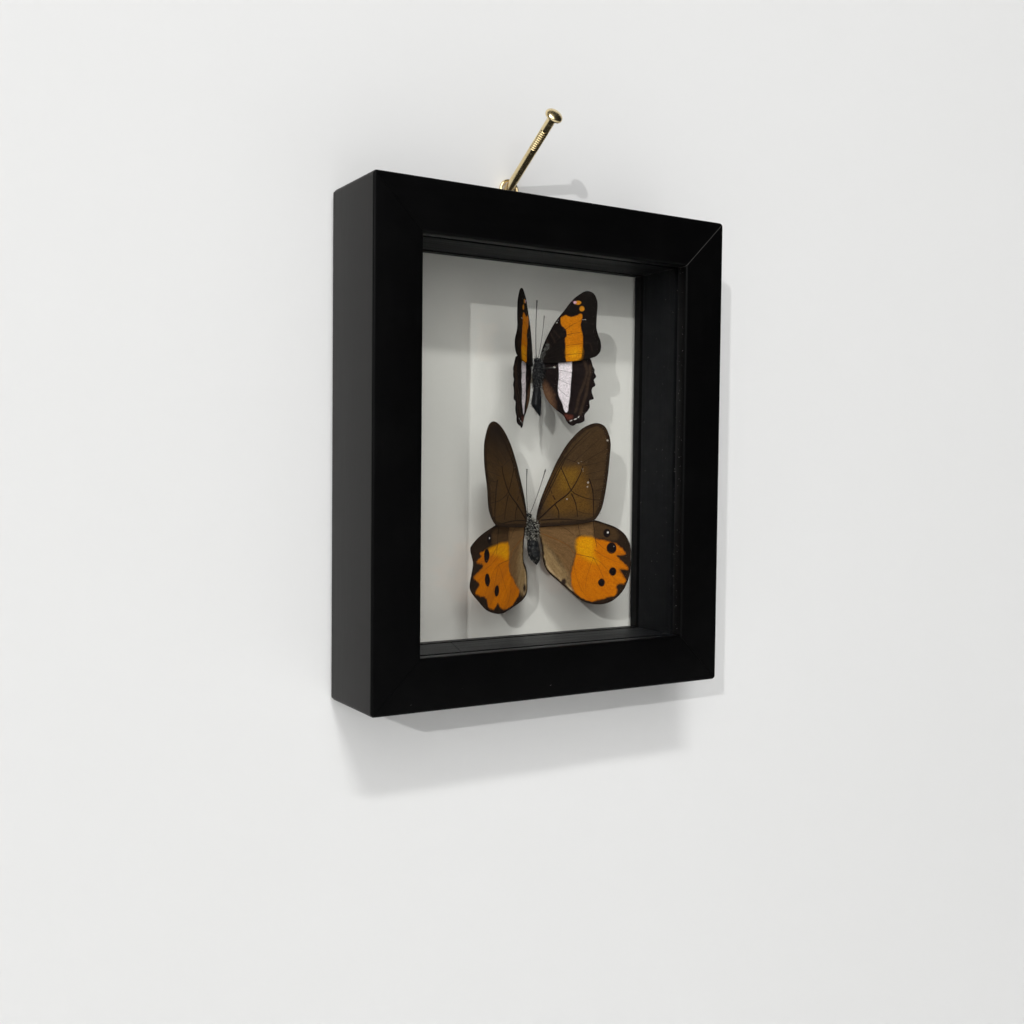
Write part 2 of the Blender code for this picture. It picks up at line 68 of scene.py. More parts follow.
RAIL_SHARP = math.radians(32)
BLACK_STAIN = (0.0010, 0.0010, 0.0011, 1)
WORN_STAIN = (0.0030, 0.0030, 0.0030, 1)
# painted highlight: the pale colour of the thin glint line on the top-right mitre
MITRE_GLINT = (0.070, 0.068, 0.064, 1)
DRY_STAIN = (0.031, 0.030, 0.029, 1)


def add_node(tree, kind, settings=None, **inputs):
    """A shader or geometry node with its settings, and its inputs by name; a socket is linked."""
    node = tree.nodes.new(kind)
    for key, value in (settings or {}).items():
        setattr(node, key, value)
    for key, value in inputs.items():
        socket = node.inputs[int(key[1:]) if key[0] == "_" else key.replace("_", " ")]
        if isinstance(value, bpy.types.NodeSocket):
            tree.links.new(value, socket)
        else:
            socket.default_value = value
    return node


def new_finish(name, **sockets):
    """A material with one Principled shader. Returns the material, its tree and the shader."""
    material = bpy.data.materials.new(name)
    material.use_nodes = True
    tree = material.node_tree
    shader = tree.nodes["Principled BSDF"]
    for key, value in sockets.items():
        shader.inputs[key.replace("_", " ")].default_value = value
    return material, tree, shader


def object_pattern(tree, stretch, scale, detail=4.0, roughness=0.6):
    """Noise on the piece's own coordinates in metres, drawn out along one axis by stretch."""
    place = add_node(tree, "ShaderNodeTexCoord").outputs["Object"]
    mapped = add_node(tree, "ShaderNodeMapping", Vector=place, Scale=stretch).outputs[0]
    noise = add_node(tree, "ShaderNodeTexNoise", Vector=mapped, Scale=scale, Detail=detail,
                     Roughness=roughness)
    return noise.outputs["Fac"]


def remap(tree, value, low, high, to_low, to_high):
    node = add_node(tree, "ShaderNodeMapRange", Value=value)
    for socket, number in zip(node.inputs[1:5], (low, high, to_low, to_high)):
        socket.default_value = number
    return node.outputs[0]


def mix_colour(tree, amount, first, second):
    node = add_node(tree, "ShaderNodeMix", {"data_type": "RGBA"})
    for index, value in ((0, amount), (6, first), (7, second)):
        if isinstance(value, bpy.types.NodeSocket):
            tree.links.new(value, node.inputs[index])
        else:
            node.inputs[index].default_value = value
    return node.outputs[2]


def read_attribute(tree, name):
    return add_node(tree, "ShaderNodeAttribute", {"attribute_name": name}).outputs["Fac"]


def paint(tree, shader, amount, first, second):
    tree.links.new(mix_colour(tree, amount, first, second), shader.inputs["Base Color"])


def roughen(tree, shader, pattern, low, high, smooth, rough):
    tree.links.new(remap(tree, pattern, low, high, smooth, rough), shader.inputs["Roughness"])


def add_bump(tree, shader, height, distance, strength):
    bump = add_node(tree, "ShaderNodeBump", Height=height, Distance=distance, Strength=strength)
    tree.links.new(bump.outputs[0], shader.inputs["Normal"])


def stained_wood(name, along):
    """Black stain; the grain runs along one axis, and the eased edges are rubbed a little paler."""
    material, tree, shader = new_finish(name, Specular_IOR_Level=0.06)
    stretch = [1.0, 1.0, 1.0]
    stretch[along] = 0.06
    grain = object_pattern(tree, stretch, 900.0, 6.0, 0.7)
    cloud = object_pattern(tree, (1, 1, 1), 60.0)
    rubbed = remap(tree, cloud, 0.45, 0.8, 0.0, 0.5)
    colour = mix_colour(tree, rubbed, BLACK_STAIN, WORN_STAIN)
    faint = add_node(tree, "ShaderNodeMath", {"operation": "MULTIPLY"}, _0=read_attribute(tree, "outer"),
                     _1=remap(tree, grain, 0.25, 0.75, 0.72, 1.0)).outputs[0]
    colour = mix_colour(tree, faint, colour, DRY_STAIN)
    # the thin pale line on the top-right mitre is a painted highlight, standing in for a glint on the joint
    joint = remap(tree, read_attribute(tree, "joint"), 0.25, 0.9, 0.0, 0.8)
    paint(tree, shader, joint, colour, MITRE_GLINT)
    roughen(tree, shader, grain, 0.3, 0.75, 0.38, 0.52)
    add_bump(tree, shader, grain, 0.02 * MM, 0.6)
    return material


def add_piece(name, mesh, materials=()):
    piece = bpy.data.objects.new(name, mesh)
    bpy.context.scene.collection.objects.link(piece)
    for material in materials:
        mesh.materials.append(material)
    return piece


def settle(piece, nodes=()):
    """The finished piece belongs to the frame's one rigid body."""
    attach(piece, "root")
    if nodes:
        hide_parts(*nodes)


def quarter(center, radius, start, steps=5):
    """A quarter turn clockwise from a start angle in degrees."""
    turns = [math.radians(start - 90.0 * i / steps) for i in range(steps + 1)]
    return [(center[0] + radius * math.cos(t), center[1] + radius * math.sin(t)) for t in turns]


def moulding_section():
    lip, rebate, ease = FRONT_Y + LIP_DEPTH, FACE_WIDTH - REBATE, EASED_EDGE
    points = quarter((ease, BACK_Y - ease), ease, 180.0)
    points += [(rebate * 0.5, BACK_Y), (rebate, BACK_Y), (rebate, lip)]
    points += quarter((FACE_WIDTH - ease / 2, lip - ease / 2), ease / 2, 90.0, 2)
    points += quarter((FACE_WIDTH - ease, FRONT_Y + ease), ease, 0.0)
    points += [(FACE_WIDTH * 0.5, FRONT_Y)]
    points += quarter((ease, FRONT_Y + ease), ease, -90.0)
    return points


def corner_inset(from_end):
    """How far the outer edge draws in near a sanded corner."""
    short = max(0.0, CORNER_ROUND - from_end)
    return CORNER_ROUND - math.sqrt(max(0.0, CORNER_ROUND ** 2 - short ** 2))


def moulding_length(side, turn, length, center, material):
    section = moulding_section()
    bm = bmesh.new()
    half = length / 2 - MITRE_GAP
    stations = [(-1, f * MM) for f in STATIONS] + [(1, f * MM) for f in reversed(STATIONS)]
    outer = bm.verts.layers.float.new("outer")
    joint = bm.verts.layers.float.new("joint")
    # the two ends that meet at the top-right mitre carry the painted highlight line
    glint_end = {"top": 1, "right": -1}.get(side, 0)
    rings = []
    for sign, back in stations:
        ring = []
        for w, y in section:
            fade = max(0.0, 1.0 - w / OUTER_FADE)
            drawn = w + corner_inset(back + w + CORNER_REACH) * fade
            ring.append(bm.verts.new((sign * (half - drawn - back), y, -drawn)))
            ring[-1][outer] = 1.0 if w < 0.05 * MM else 0.0
            ring[-1][joint] = 1.0 if back == 0.0 and sign == glint_end else 0.0
        rings.append(ring)
    for first, second in zip(rings, rings[1:]):
        for i in range(len(section)):
            j = (i + 1) % len(section)
            bm.faces.new((first[i], first[j], second[j], second[i]))
    bm.faces.new(rings[0])
    bm.faces.new(list(reversed(rings[-1])))
    bmesh.ops.recalc_face_normals(bm, faces=bm.faces)
    bm.transform(Matrix.Translation(center) @ Matrix.Rotation(math.radians(turn), 4, "Y"))
    mesh = bpy.data.meshes.new("moulding_" + side)
    bm.to_mesh(mesh)
    bm.free()
    mesh.shade_smooth()
    mesh.set_sharp_from_angle(angle=RAIL_SHARP)
    settle(add_piece("moulding_" + side, mesh, [material]), ["rail_" + side])


GRAIN_ACROSS = stained_wood("black_stained_wood_across", 0)
GRAIN_UP = stained_wood("black_stained_wood_upright", 2)
SIDES = [
    ("top", 0.0, FRAME_WIDTH, Vector((CENTER_X, 0.0, TOP_Z)), GRAIN_ACROSS),
    ("right", 90.0, FRAME_HEIGHT, Vector((RAIL_HIGH[0], 0.0, MID_Z)), GRAIN_UP),
    ("bottom", 180.0, FRAME_WIDTH, Vector((CENTER_X, 0.0, BOTTOM_Z)), GRAIN_ACROSS),
    ("left", 270.0, FRAME_HEIGHT, Vector((RAIL_LOW[0], 0.0, MID_Z)), GRAIN_UP),
]
for side, turn, length, center, grain in SIDES:
    moulding_length(side, turn, length, center, grain)

# ---------------------------------------------------------------------------
# Liner strips and rear beads
# Thin lengths between the panes, painted charcoal, and behind the rear one,
# stained black. The bottom liner is two lengths that meet at a skew.
# ---------------------------------------------------------------------------
LINER_PAINT = (0.0030, 0.0034, 0.0042, 1)
LINER_DUST = (0.0085, 0.0090, 0.0100, 1)


def painted_strip(name, along):
    material, tree, shader = new_finish(name, Specular_IOR_Level=0.07)
    stretch = [1.0, 1.0, 1.0]
    stretch[along] = 0.05
    streak = object_pattern(tree, stretch, 700.0, 5.0, 0.65)
    film = object_pattern(tree, (1, 1, 1), 160.0, 5.0, 0.7)
    dusty = remap(tree, film, 0.42, 0.78, 0.0, 0.9)
    paint(tree, shader, dusty, LINER_PAINT, LINER_DUST)
    roughen(tree, shader, streak, 0.3, 0.7, 0.45, 0.62)
    add_bump(tree, shader, streak, 0.03 * MM, 0.7)
    return material


def refinish(node, material):
    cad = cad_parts[node]
    cad.data.materials.clear()
    cad.data.materials.append(material)
    return cad


STRIP_ACROSS = painted_strip("charcoal_strip_across", 0)
STRIP_UP = painted_strip("charcoal_strip_upright", 2)
STRIP_FINISH = {
    STRIP_ACROSS: ("liner_top", "liner_bottom_short", "liner_bottom_long"),
    STRIP_UP: ("liner_left", "liner_right"),
    GRAIN_ACROSS: ("bead_top", "bead_bottom"),
    GRAIN_UP: ("bead_left", "bead_right"),
}
for finish, nodes in STRIP_FINISH.items():
    for node in nodes:
        refinish(node, finish)

# ---------------------------------------------------------------------------
# Panes
# Two sheets of 2 mm picture glass with cut edges, the front one behind the lip
# and the rear one in front of the beads. They are clear, with a slight warm cast.
# ---------------------------------------------------------------------------
GLASS_CAST = (0.972, 0.972, 0.937, 1)
GLASS_PALER = (0.984, 0.984, 0.949, 1)


def clear_glass():
    material, tree, shader = new_finish(
        "picture_glass", Base_Color=GLASS_CAST, Transmission_Weight=1.0, IOR=1.5, Roughness=0.0)
    paint(tree, shader, object_pattern(tree, (1, 1, 0.5), 40.0, 3.0, 0.55), GLASS_CAST, GLASS_PALER)
    return material


PICTURE_GLASS = clear_glass()
for node in ("front_glass", "rear_glass"):
    pane = refinish(node, PICTURE_GLASS)
    # light goes straight through the panes to what is behind them, and is counted only once
    pane.visible_shadow = False
    pane.visible_diffuse = False

# ---------------------------------------------------------------------------
# Hanger
# A stamped brass strap screwed to the back of the top rail with two small
# countersunk screws, and a loose split ring in its eye that hooks on the nail.
# ---------------------------------------------------------------------------
BRASS_COLOUR = (0.86, 0.70, 0.40, 1)
BRASS_TARNISH = (0.50, 0.36, 0.17, 1)


def plated_brass():
    material, tree, shader = new_finish("plated_brass", Metallic=1.0)
    cloud = object_pattern(tree, (1, 1, 1), 420.0, 5.0, 0.65)
    tarnish = remap(tree, cloud, 0.48, 0.78, 0.0, 0.75)
    paint(tree, shader, tarnish, BRASS_COLOUR, BRASS_TARNISH)
    roughen(tree, shader, cloud, 0.35, 0.75, 0.16, 0.34)
    add_bump(tree, shader, cloud, 0.02 * MM, 0.5)
    return material


BRASS = plated_brass()
for node in ("hanger_plate", "hanger_ring", "hanger_screw_left", "hanger_screw_right"):
    refinish(node, BRASS)

# ---------------------------------------------------------------------------
# Nail
# A domed brass nail driven into the wall on a slant, with rolled rings round
# part of its shank. It goes in at the origin and the ring hangs on it.
# ---------------------------------------------------------------------------
NAIL_SLOPE = math.radians(32.6)
NAIL_OUT, NAIL_IN = 33.4 * MM, 10.0 * MM
SHANK_RADIUS, HEAD_RADIUS = 1.4 * MM, 2.8 * MM
DOME, HEAD_EDGE = 1.2 * MM, 0.6 * MM
NAIL_SHARP, NAIL_STEPS = math.radians(28), 32
ROLLED_FROM, ROLLED_TO, ROLLED_PITCH, ROLLED_DEEP = 19.2 * MM, 26.6 * MM, 0.77 * MM, 0.24 * MM


def turned_mesh(name, profile, steps):
    """A turned shape about Z from (radius, height) points that run from the top down."""
    bm = bmesh.new()
    rings = []
    for radius, z in profile:
        if radius == 0.0:
            rings.append([bm.verts.new((0.0, 0.0, z))])
            continue
        spots = [2 * math.pi * i / steps for i in range(steps)]
        rings.append([bm.verts.new((radius * math.cos(t), radius * math.sin(t), z)) for t in spots])
    for upper, lower in zip(rings, rings[1:]):
        for i in range(steps):
            j = (i + 1) % steps
            corners = [ring[k % len(ring)] for ring, k in ((upper, i), (lower, i), (lower, j), (upper, j))]
            bm.faces.new(list(dict.fromkeys(corners)))
    bmesh.ops.recalc_face_normals(bm, faces=bm.faces)
    mesh = bpy.data.meshes.new(name)
    bm.to_mesh(mesh)
    bm.free()
    return mesh


def nail_profile():
    arc = [math.radians(90.0 - 15.0 * i) for i in range(1, 7)]
    crown = NAIL_OUT - DOME
    profile = [(0.0, NAIL_OUT)] + [(HEAD_RADIUS * math.cos(a), crown + DOME * math.sin(a)) for a in arc]
    profile += [(HEAD_RADIUS * 0.97, crown - HEAD_EDGE * 0.7), (HEAD_RADIUS * 0.85, crown - HEAD_EDGE)]
    neck = crown - HEAD_EDGE
    profile += [(SHANK_RADIUS * 1.08, neck - 0.1 * MM), (SHANK_RADIUS, neck - 0.5 * MM)]
    z, root = ROLLED_TO, SHANK_RADIUS - ROLLED_DEEP
    while z > ROLLED_FROM:
        profile += [(SHANK_RADIUS, z), (root, z - ROLLED_PITCH * 0.3)]
        profile += [(root, z - ROLLED_PITCH * 0.45), (SHANK_RADIUS, z - ROLLED_PITCH * 0.7)]
        z -= ROLLED_PITCH
    profile += [(SHANK_RADIUS, 0.0), (SHANK_RADIUS * 0.95, -NAIL_IN + 3 * MM), (0.0, -NAIL_IN)]
    return profile


nail_mesh = turned_mesh("brass_nail", nail_profile(), NAIL_STEPS)
nail_mesh.transform(Matrix.Rotation(math.radians(90.0) - NAIL_SLOPE, 4, "X"))
nail_mesh.shade_smooth()
nail_mesh.set_sharp_from_angle(angle=NAIL_SHARP)
settle(add_piece("brass_nail", nail_mesh, [BRASS]), ["nail"])

# ---------------------------------------------------------------------------
# Upper butterfly's wings
# Four dried wing membranes covered in black-brown scales, held spread from the
# thorax: an orange band on the forewings and a white one on the hindwings.
# ---------------------------------------------------------------------------
WING_THICK = 0.12 * MM
HINDWING_BEHIND = 0.6            # millimetres, as are the numbers of each wing plan
MESH_SPACING, MARK_SPACING, VEIN_SPACING = 0.3, 0.4, 0.6
UPPER = {"name": "upper", "x": 2.15, "z": 103.2, "hinge_y": 19.5, "hinge_x": 1.2,
         "fore_tilt": 41.0, "hind_tilt": 39.5, "left_drop": 1.2, "left_lean": 0.0}


def smooth_loop(points, spacing, closed=True):
    """Points at an even spacing along a smooth line through the given ones."""
    given = np.array(points, float)
    count = len(given)
    out = []
    for i in range(count if closed else count - 1):
        if closed:
            a, b, c, d = (given[(i + k) % count] for k in (-1, 0, 1, 2))
        else:
            a, b, c, d = (given[min(max(i + k, 0), count - 1)] for k in (-1, 0, 1, 2))
        steps = max(2, int(math.ceil(np.linalg.norm(c - b) / spacing)))
        for t in np.arange(steps) / steps:
            out.append(0.5 * ((2 * b) + (c - a) * t + (2 * a - 5 * b + 4 * c - d) * t ** 2
                              + (3 * b - a - 3 * c + d) * t ** 3))
    if not closed:
        out.append(given[-1])
    return np.array(out)


def line_distance(spots, line, closed=False):
    """Distance of each spot from a line of points."""
    ends = np.roll(line, -1, 0) if closed else line[1:]
    starts = line if closed else line[:-1]
    best = np.full(len(spots), 1e9)
    for a, b in zip(starts, ends):
        ab = b - a
        t = np.clip(((spots - a) @ ab) / max(ab @ ab, 1e-12), 0, 1)
        best = np.minimum(best, np.linalg.norm(spots - (a + t[:, None] * ab), axis=1))
    return best


def inside_distance(spots, loop):
    """Distance from a closed loop, positive inside it."""
    inside = np.zeros(len(spots), bool)
    for a, b in zip(loop, np.roll(loop, -1, 0)):
        crosses = (a[1] > spots[:, 1]) != (b[1] > spots[:, 1])
        rise = b[1] - a[1] if b[1] != a[1] else 1e-9
        x = a[0] + (spots[:, 1] - a[1]) * (b[0] - a[0]) / rise
        inside ^= crosses & (spots[:, 0] < x)
    return line_distance(spots, loop, True) * np.where(inside, 1.0, -1.0)


def mark_distance(spots, shape):
    """Signed distance, positive on it: patches, discs (u, v, radius, tallness) or lines."""
    best = np.full(len(spots), -1e3)
    for patch in shape.get("patches", ()):
        best = np.maximum(best, inside_distance(spots, smooth_loop(patch, MARK_SPACING)))
    for u, v, radius, tall in shape.get("discs", ()):
        away = np.hypot(spots[:, 0] - u, (spots[:, 1] - v) / tall)
        best = np.maximum(best, radius - away)
    for line, half in shape.get("lines", ()):
        best = np.maximum(best, half - line_distance(spots, smooth_loop(line, MARK_SPACING, False)))
    return best


def wing_surface(spots, bend):
    """How far the membrane stands out of its flat plane: camber, a curled margin and slack ripples."""
    u, v = spots[:, 0], spots[:, 1]
    reach = np.hypot(u, v)
    camber = bend["camber"] * np.sin(np.clip(u / bend["span"], 0, 1) * math.pi)
    fan = np.arctan2(v, u + 2.0)
    ripple = bend["ripple"] * np.sin(fan * bend["folds"] + 0.6) * np.clip(reach / bend["span"], 0, 1) ** 1.5
    curl = bend["curl"] * np.clip((reach - 0.7 * bend["span"]) / bend["span"], 0, 1)
    return camber + ripple + curl


def wing_frame(kind, pair, side):
    tilt = math.radians(kind[pair + "_tilt"])
    span = Vector((side * math.cos(tilt), -math.sin(tilt), 0.0))
    up = Vector((0.0, 0.0, 1.0))
    out = Vector((-side * math.sin(tilt), -math.cos(tilt), 0.0))
    behind = HINDWING_BEHIND if pair == "hind" else 0.0
    drop = kind["left_drop"] if side < 0 else 0.0
    root = Vector((
        CENTER_X + (kind["x"] + side * kind["hinge_x"]) * MM,
        FRONT_Y + (kind["hinge_y"] + behind) * MM,
        BOTTOM_Z + (kind["z"] - drop) * MM))
    if side < 0 and pair == "fore":
        lean = math.radians(kind["left_lean"])
        span, up = (math.cos(lean) * span - math.sin(lean) * up, math.cos(lean) * up + math.sin(lean) * span)
    return root, span, up, out


def wing_place(kind, pair, side, spots, proud):
    root, span, up, out = (np.array(v) for v in wing_frame(kind, pair, side))
    flat = spots[:, :1] * MM * span + spots[:, 1:2] * MM * up
    return root + flat + (proud[:, None] * MM) * out


def wing_mesh(name, kind, pair, side, outline, bend, marks):
    spacing = MESH_SPACING
    edge = smooth_loop(outline, spacing)
    low, high = edge.min(0), edge.max(0)
    rows = np.arange(low[1], high[1], spacing * 0.87)
    grid = []
    for k, v in enumerate(rows):
        row = np.arange(low[0] + (k % 2) * spacing / 2, high[0], spacing)
        grid.append(np.stack([row, np.full(len(row), v)], 1))
    grid = np.concatenate(grid)
    grid = grid[inside_distance(grid, edge) > spacing * 0.55]
    spots = np.concatenate([edge, grid])
    loop = [(i, (i + 1) % len(edge)) for i in range(len(edge))]
    made = delaunay_2d_cdt([Vector(p) for p in spots], loop, [], 2, 1e-5)
    flat = np.array([(p.x, p.y) for p in made[0]])
    mesh = bpy.data.meshes.new(name)
    verts = wing_place(kind, pair, side, flat, wing_surface(flat, bend))
    mesh.from_pydata(verts.tolist(), [], made[2])
    along, up = flat[:, 0] + 3.0, flat[:, 1]
    values = {"margin": line_distance(flat, edge, True), "ray": np.arctan2(up, along),
              "reach": np.hypot(along, up)}
    values.update({key: mark_distance(flat, shape) for key, shape in marks.items()})
    for key, numbers in values.items():
        mesh.attributes.new(key, "FLOAT", "POINT").data.foreach_set("value", numbers.astype(np.float32))
    # every face looks out of the wall before the membrane gets its thickness
    bm = bmesh.new()
    bm.from_mesh(mesh)
    outward = wing_frame(kind, pair, side)[3]
    wrong = [f for f in bm.faces if f.normal.dot(outward) < 0]
    bmesh.ops.reverse_faces(bm, faces=wrong)
    bm.to_mesh(mesh)
    bm.free()
    mesh.shade_smooth()
    return mesh


WING_ROUGH = 0.62


def scale_finish(name, ground, tips, layers, streaks=0.35, sheen=0.0):
    """Wing scales: a ground colour, then markings (attribute, softness, wander, two colours)."""
    material, tree, shader = new_finish(
        name, Specular_IOR_Level=0.03, Sheen_Weight=sheen, Sheen_Roughness=0.4,
        Sheen_Tint=(0.6, 0.5, 0.45, 1))
    ray, reach, margin = (read_attribute(tree, key) for key in ("ray", "reach", "margin"))
    fan = add_node(tree, "ShaderNodeCombineXYZ", X=ray, Y=reach)
    stretched = add_node(tree, "ShaderNodeMapping", Vector=fan.outputs[0], Scale=(26.0, 0.22, 1.0))
    streak = add_node(tree, "ShaderNodeTexNoise", Vector=stretched.outputs[0], Scale=1.0, Detail=5.0,
                      Roughness=0.7)
    grain = object_pattern(tree, (1, 1, 1), 2600.0, 3.0, 0.6)
    wander = object_pattern(tree, (1, 1, 1), 900.0, 3.0, 0.6)
    uneven = remap(tree, streak.outputs["Fac"], 0.3, 0.72, 0.0, 1.0)
    colour = mix_colour(tree, uneven, ground, tips)
    for key, soft, stray, first, second in layers:
        field = margin if key == "margin" else read_attribute(tree, key)
        shift = remap(tree, wander, 0.25, 0.75, -stray, stray)
        moved = add_node(tree, "ShaderNodeMath", _0=field, _1=shift).outputs[0]
        cover = remap(tree, moved, -soft, soft, 0.0, 1.0)
        if key == "margin":
            cover = remap(tree, moved, stray + soft, soft, 0.0, 1.0)
        shade = mix_colour(tree, uneven, first, second)
        colour = mix_colour(tree, cover, colour, shade)
    dusted = remap(tree, grain, 0.3, 0.7, 1.0 - streaks, 1.0 + streaks)
    final = add_node(tree, "ShaderNodeVectorMath", {"operation": "SCALE"}, _0=colour, Scale=dusted)
    tree.links.new(final.outputs[0], shader.inputs["Base Color"])
    roughen(tree, shader, grain, 0.3, 0.7, WING_ROUGH - 0.12, WING_ROUGH + 0.12)
    add_bump(tree, shader, grain, 0.03 * MM, 0.8)
    return material


def add_wing(kind, pair, side, outline, bend, marks, finish, replaced):
    word = "right" if side > 0 else "left"
    name = kind["name"] + "_" + pair + "_membrane_" + word
    mesh = wing_mesh(name, kind, pair, side, outline, bend, marks)
    piece = add_piece(name, mesh, [finish])
    thick = piece.modifiers.new("membrane", "SOLIDIFY")
    thick.thickness = WING_THICK
    thick.offset = 0.0
    settle(piece, [replaced + word])


UPPER_FORE_EDGE = [
    (0.2, 0.9), (0.6, 2.9), (1.7, 6.0), (3.5, 9.7), (5.3, 12.6), (8.0, 15.9), (10.2, 18.7), (12.6, 20.6),
    (14.8, 21.6), (16.9, 20.9), (18.0, 19.0), (18.3, 17.2), (18.1, 14.6), (18.0, 12.3), (18.0, 10.2),
    (18.6, 7.9), (19.3, 6.1), (19.5, 4.1), (19.1, 2.5), (17.9, 1.3), (16.2, 0.7), (14.1, 0.2), (11.1, -0.2),
    (8.5, -0.5), (4.5, -0.8), (0.4, -0.6),
]
UPPER_HIND_EDGE = [
    (0.5, -0.6), (4.0, 0.7), (8.5, 1.6), (13.0, 1.6), (16.2, 0.9), (17.0, -0.6), (17.2, -1.5), (17.9, -2.7),
    (17.8, -3.6), (18.4, -4.9), (17.7, -6.0), (18.2, -7.6), (17.2, -8.5), (17.1, -9.9), (17.7, -11.8),
    (16.4, -12.5), (16.5, -14.4), (15.9, -15.6), (14.9, -16.9), (14.9, -18.7), (13.4, -19.6), (12.4, -19.7),
    (11.6, -20.3), (10.4, -20.1), (9.2, -18.9), (8.5, -17.5), (7.2, -16.3), (6.0, -15.5), (4.9, -14.4),
    (3.7, -13.2), (2.2, -10.8), (1.3, -7.8), (0.9, -4.4),
]
UPPER_FORE_MARKS = {
    "orange": {"patches": [[
        (6.7, 12.8), (7.0, 13.7), (8.3, 14.2), (9.4, 13.8), (10.2, 13.6), (11.4, 14.0), (13.3, 14.5),
        (13.4, 12.7), (13.0, 11.5), (13.2, 9.9), (13.7, 7.9), (13.8, 5.6), (13.6, 3.0), (13.3, 0.9),
        (11.1, 0.0), (9.3, -0.2), (8.5, 0.4), (8.4, 4.3), (8.1, 7.0), (8.6, 7.5), (8.5, 9.5), (8.0, 10.2),
        (7.0, 11.2)]]},
    "gold": {"patches": [[(9.6, 3.6), (12.6, 3.8), (12.6, 0.8), (9.8, 0.6)]]},
    "spots": {"discs": [(12.15, 18.0, 1.05, 0.6), (13.4, 16.1, 0.78, 1.05)]},
    "lilac": {"discs": [(11.2, 18.1, 0.5, 0.9), (10.2, 18.6, 0.22, 1.2)]},
    "flecks": {"discs": [(5.5, 11.9, 0.16, 1.2), (5.9, 12.7, 0.12, 1.5), (13.7, 12.7, 0.25, 0.4),
                         (14.4, 12.75, 0.3, 0.3)]},
    "fur": {"lines": [([(0.8, 0.6), (1.5, 2.8), (2.6, 5.0)], 0.55)]},
    "bars": {"lines": [([(3.5, 8.7), (5.1, 5.7)], 0.28), ([(2.4, 6.4), (3.7, 4.4)], 0.28),
                       ([(14.6, 5.6), (16.1, 5.3), (16.8, 3.0)], 0.22), ([(4.6, 9.4), (6.6, 7.2)], 0.2)]},
}
UPPER_HIND_MARKS = {
    "white": {"patches": [[
        (6.7, 1.2), (10.2, 1.2), (10.7, -2.5), (10.5, -6.2), (10.2, -10.8), (9.8, -14.1), (9.7, -15.6),
        (9.1, -16.2), (8.5, -15.5), (7.8, -13.2), (6.7, -10.8), (6.4, -8.2), (6.7, -4.2)]]},
    "inner": {"patches": [[
        (1.0, -5.2), (3.0, -7.4), (4.4, -9.4), (5.2, -11.8), (5.6, -14.9), (3.7, -14.0), (1.5, -11.0),
        (0.6, -7.8)]]},
    "waves": {"lines": [
        ([(14.3, 0.6), (15.5, -3.5), (14.4, -7.5), (13.2, -10.8), (12.5, -14.1), (12.0, -16.0)], 0.4),
        ([(16.4, -1.5), (16.5, -4.0), (15.9, -6.5), (15.5, -9.5), (14.4, -13.5), (13.5, -16.8)], 0.42)]},
    "russet": {"patches": [[(8.7, -16.7), (10.0, -16.9), (11.2, -17.1), (11.0, -18.2), (9.5, -18.4)]]},
    "ticks": {"lines": [([(10.3, -18.9), (11.0, -18.6)], 0.14), ([(11.7, -18.4), (12.4, -18.1)], 0.14),
                        ([(12.9, -17.7), (13.3, -17.3)], 0.12)]},
}
DARK_SCALES, DARK_TIPS = (0.0026, 0.0017, 0.0015, 1), (0.0062, 0.0040, 0.0032, 1)
ORANGE, ORANGE_DEEP = (0.50, 0.165, 0.003, 1), (0.40, 0.115, 0.002, 1)
WHITE_SCALES, WHITE_SHADE = (0.70, 0.65, 0.68, 1), (0.62, 0.57, 0.61, 1)
UPPER_FORE_FINISH = scale_finish("upper_forewing_scales", DARK_SCALES, DARK_TIPS, [
    ("bars", 0.2, 0.1, (0.013, 0.008, 0.006, 1), (0.018, 0.011, 0.008, 1)),
    ("fur", 0.12, 1.1, (0.085, 0.085, 0.080, 1), (0.020, 0.020, 0.019, 1)),
    ("orange", 0.14, 0.14, ORANGE, ORANGE_DEEP),
    ("gold", 1.4, 0.3, (0.60, 0.27, 0.004, 1), (0.52, 0.21, 0.003, 1)),
    ("spots", 0.1, 0.06, (0.50, 0.20, 0.01, 1), (0.42, 0.15, 0.008, 1)),
    ("lilac", 0.12, 0.05, (0.55, 0.33, 0.42, 1), (0.45, 0.25, 0.33, 1)),
    ("flecks", 0.06, 0.05, (0.75, 0.72, 0.7, 1), (0.6, 0.55, 0.55, 1)),
])
PLUM_SCALES, PLUM_TIPS = (0.0045, 0.0026, 0.0028, 1), (0.0095, 0.0055, 0.0052, 1)
UPPER_HIND_FINISH = scale_finish("upper_hindwing_scales", PLUM_SCALES, PLUM_TIPS, [
    ("inner", 0.9, 0.4, (0.115, 0.060, 0.032, 1), (0.070, 0.036, 0.021, 1)),
    ("waves", 0.3, 0.12, (0.036, 0.022, 0.014, 1), (0.026, 0.016, 0.011, 1)),
    ("russet", 0.4, 0.2, (0.09, 0.022, 0.015, 1), (0.06, 0.018, 0.012, 1)),
    ("white", 0.12, 0.12, WHITE_SCALES, WHITE_SHADE),
    ("ticks", 0.06, 0.04, (0.7, 0.68, 0.66, 1), (0.6, 0.58, 0.56, 1)),
])
UPPER_FORE_BEND = {"camber": 0.55, "span": 20.0, "ripple": 0.10, "folds": 17.0, "curl": 0.8}
UPPER_HIND_BEND = {"camber": 0.25, "span": 19.0, "ripple": 0.14, "folds": 19.0, "curl": 0.5}
for side in (-1, 1):
    add_wing(UPPER, "fore", side, UPPER_FORE_EDGE, UPPER_FORE_BEND, UPPER_FORE_MARKS,
             UPPER_FORE_FINISH, "upper_forewing_")
    add_wing(UPPER, "hind", side, UPPER_HIND_EDGE, UPPER_HIND_BEND, UPPER_HIND_MARKS,
             UPPER_HIND_FINISH, "upper_hindwing_")

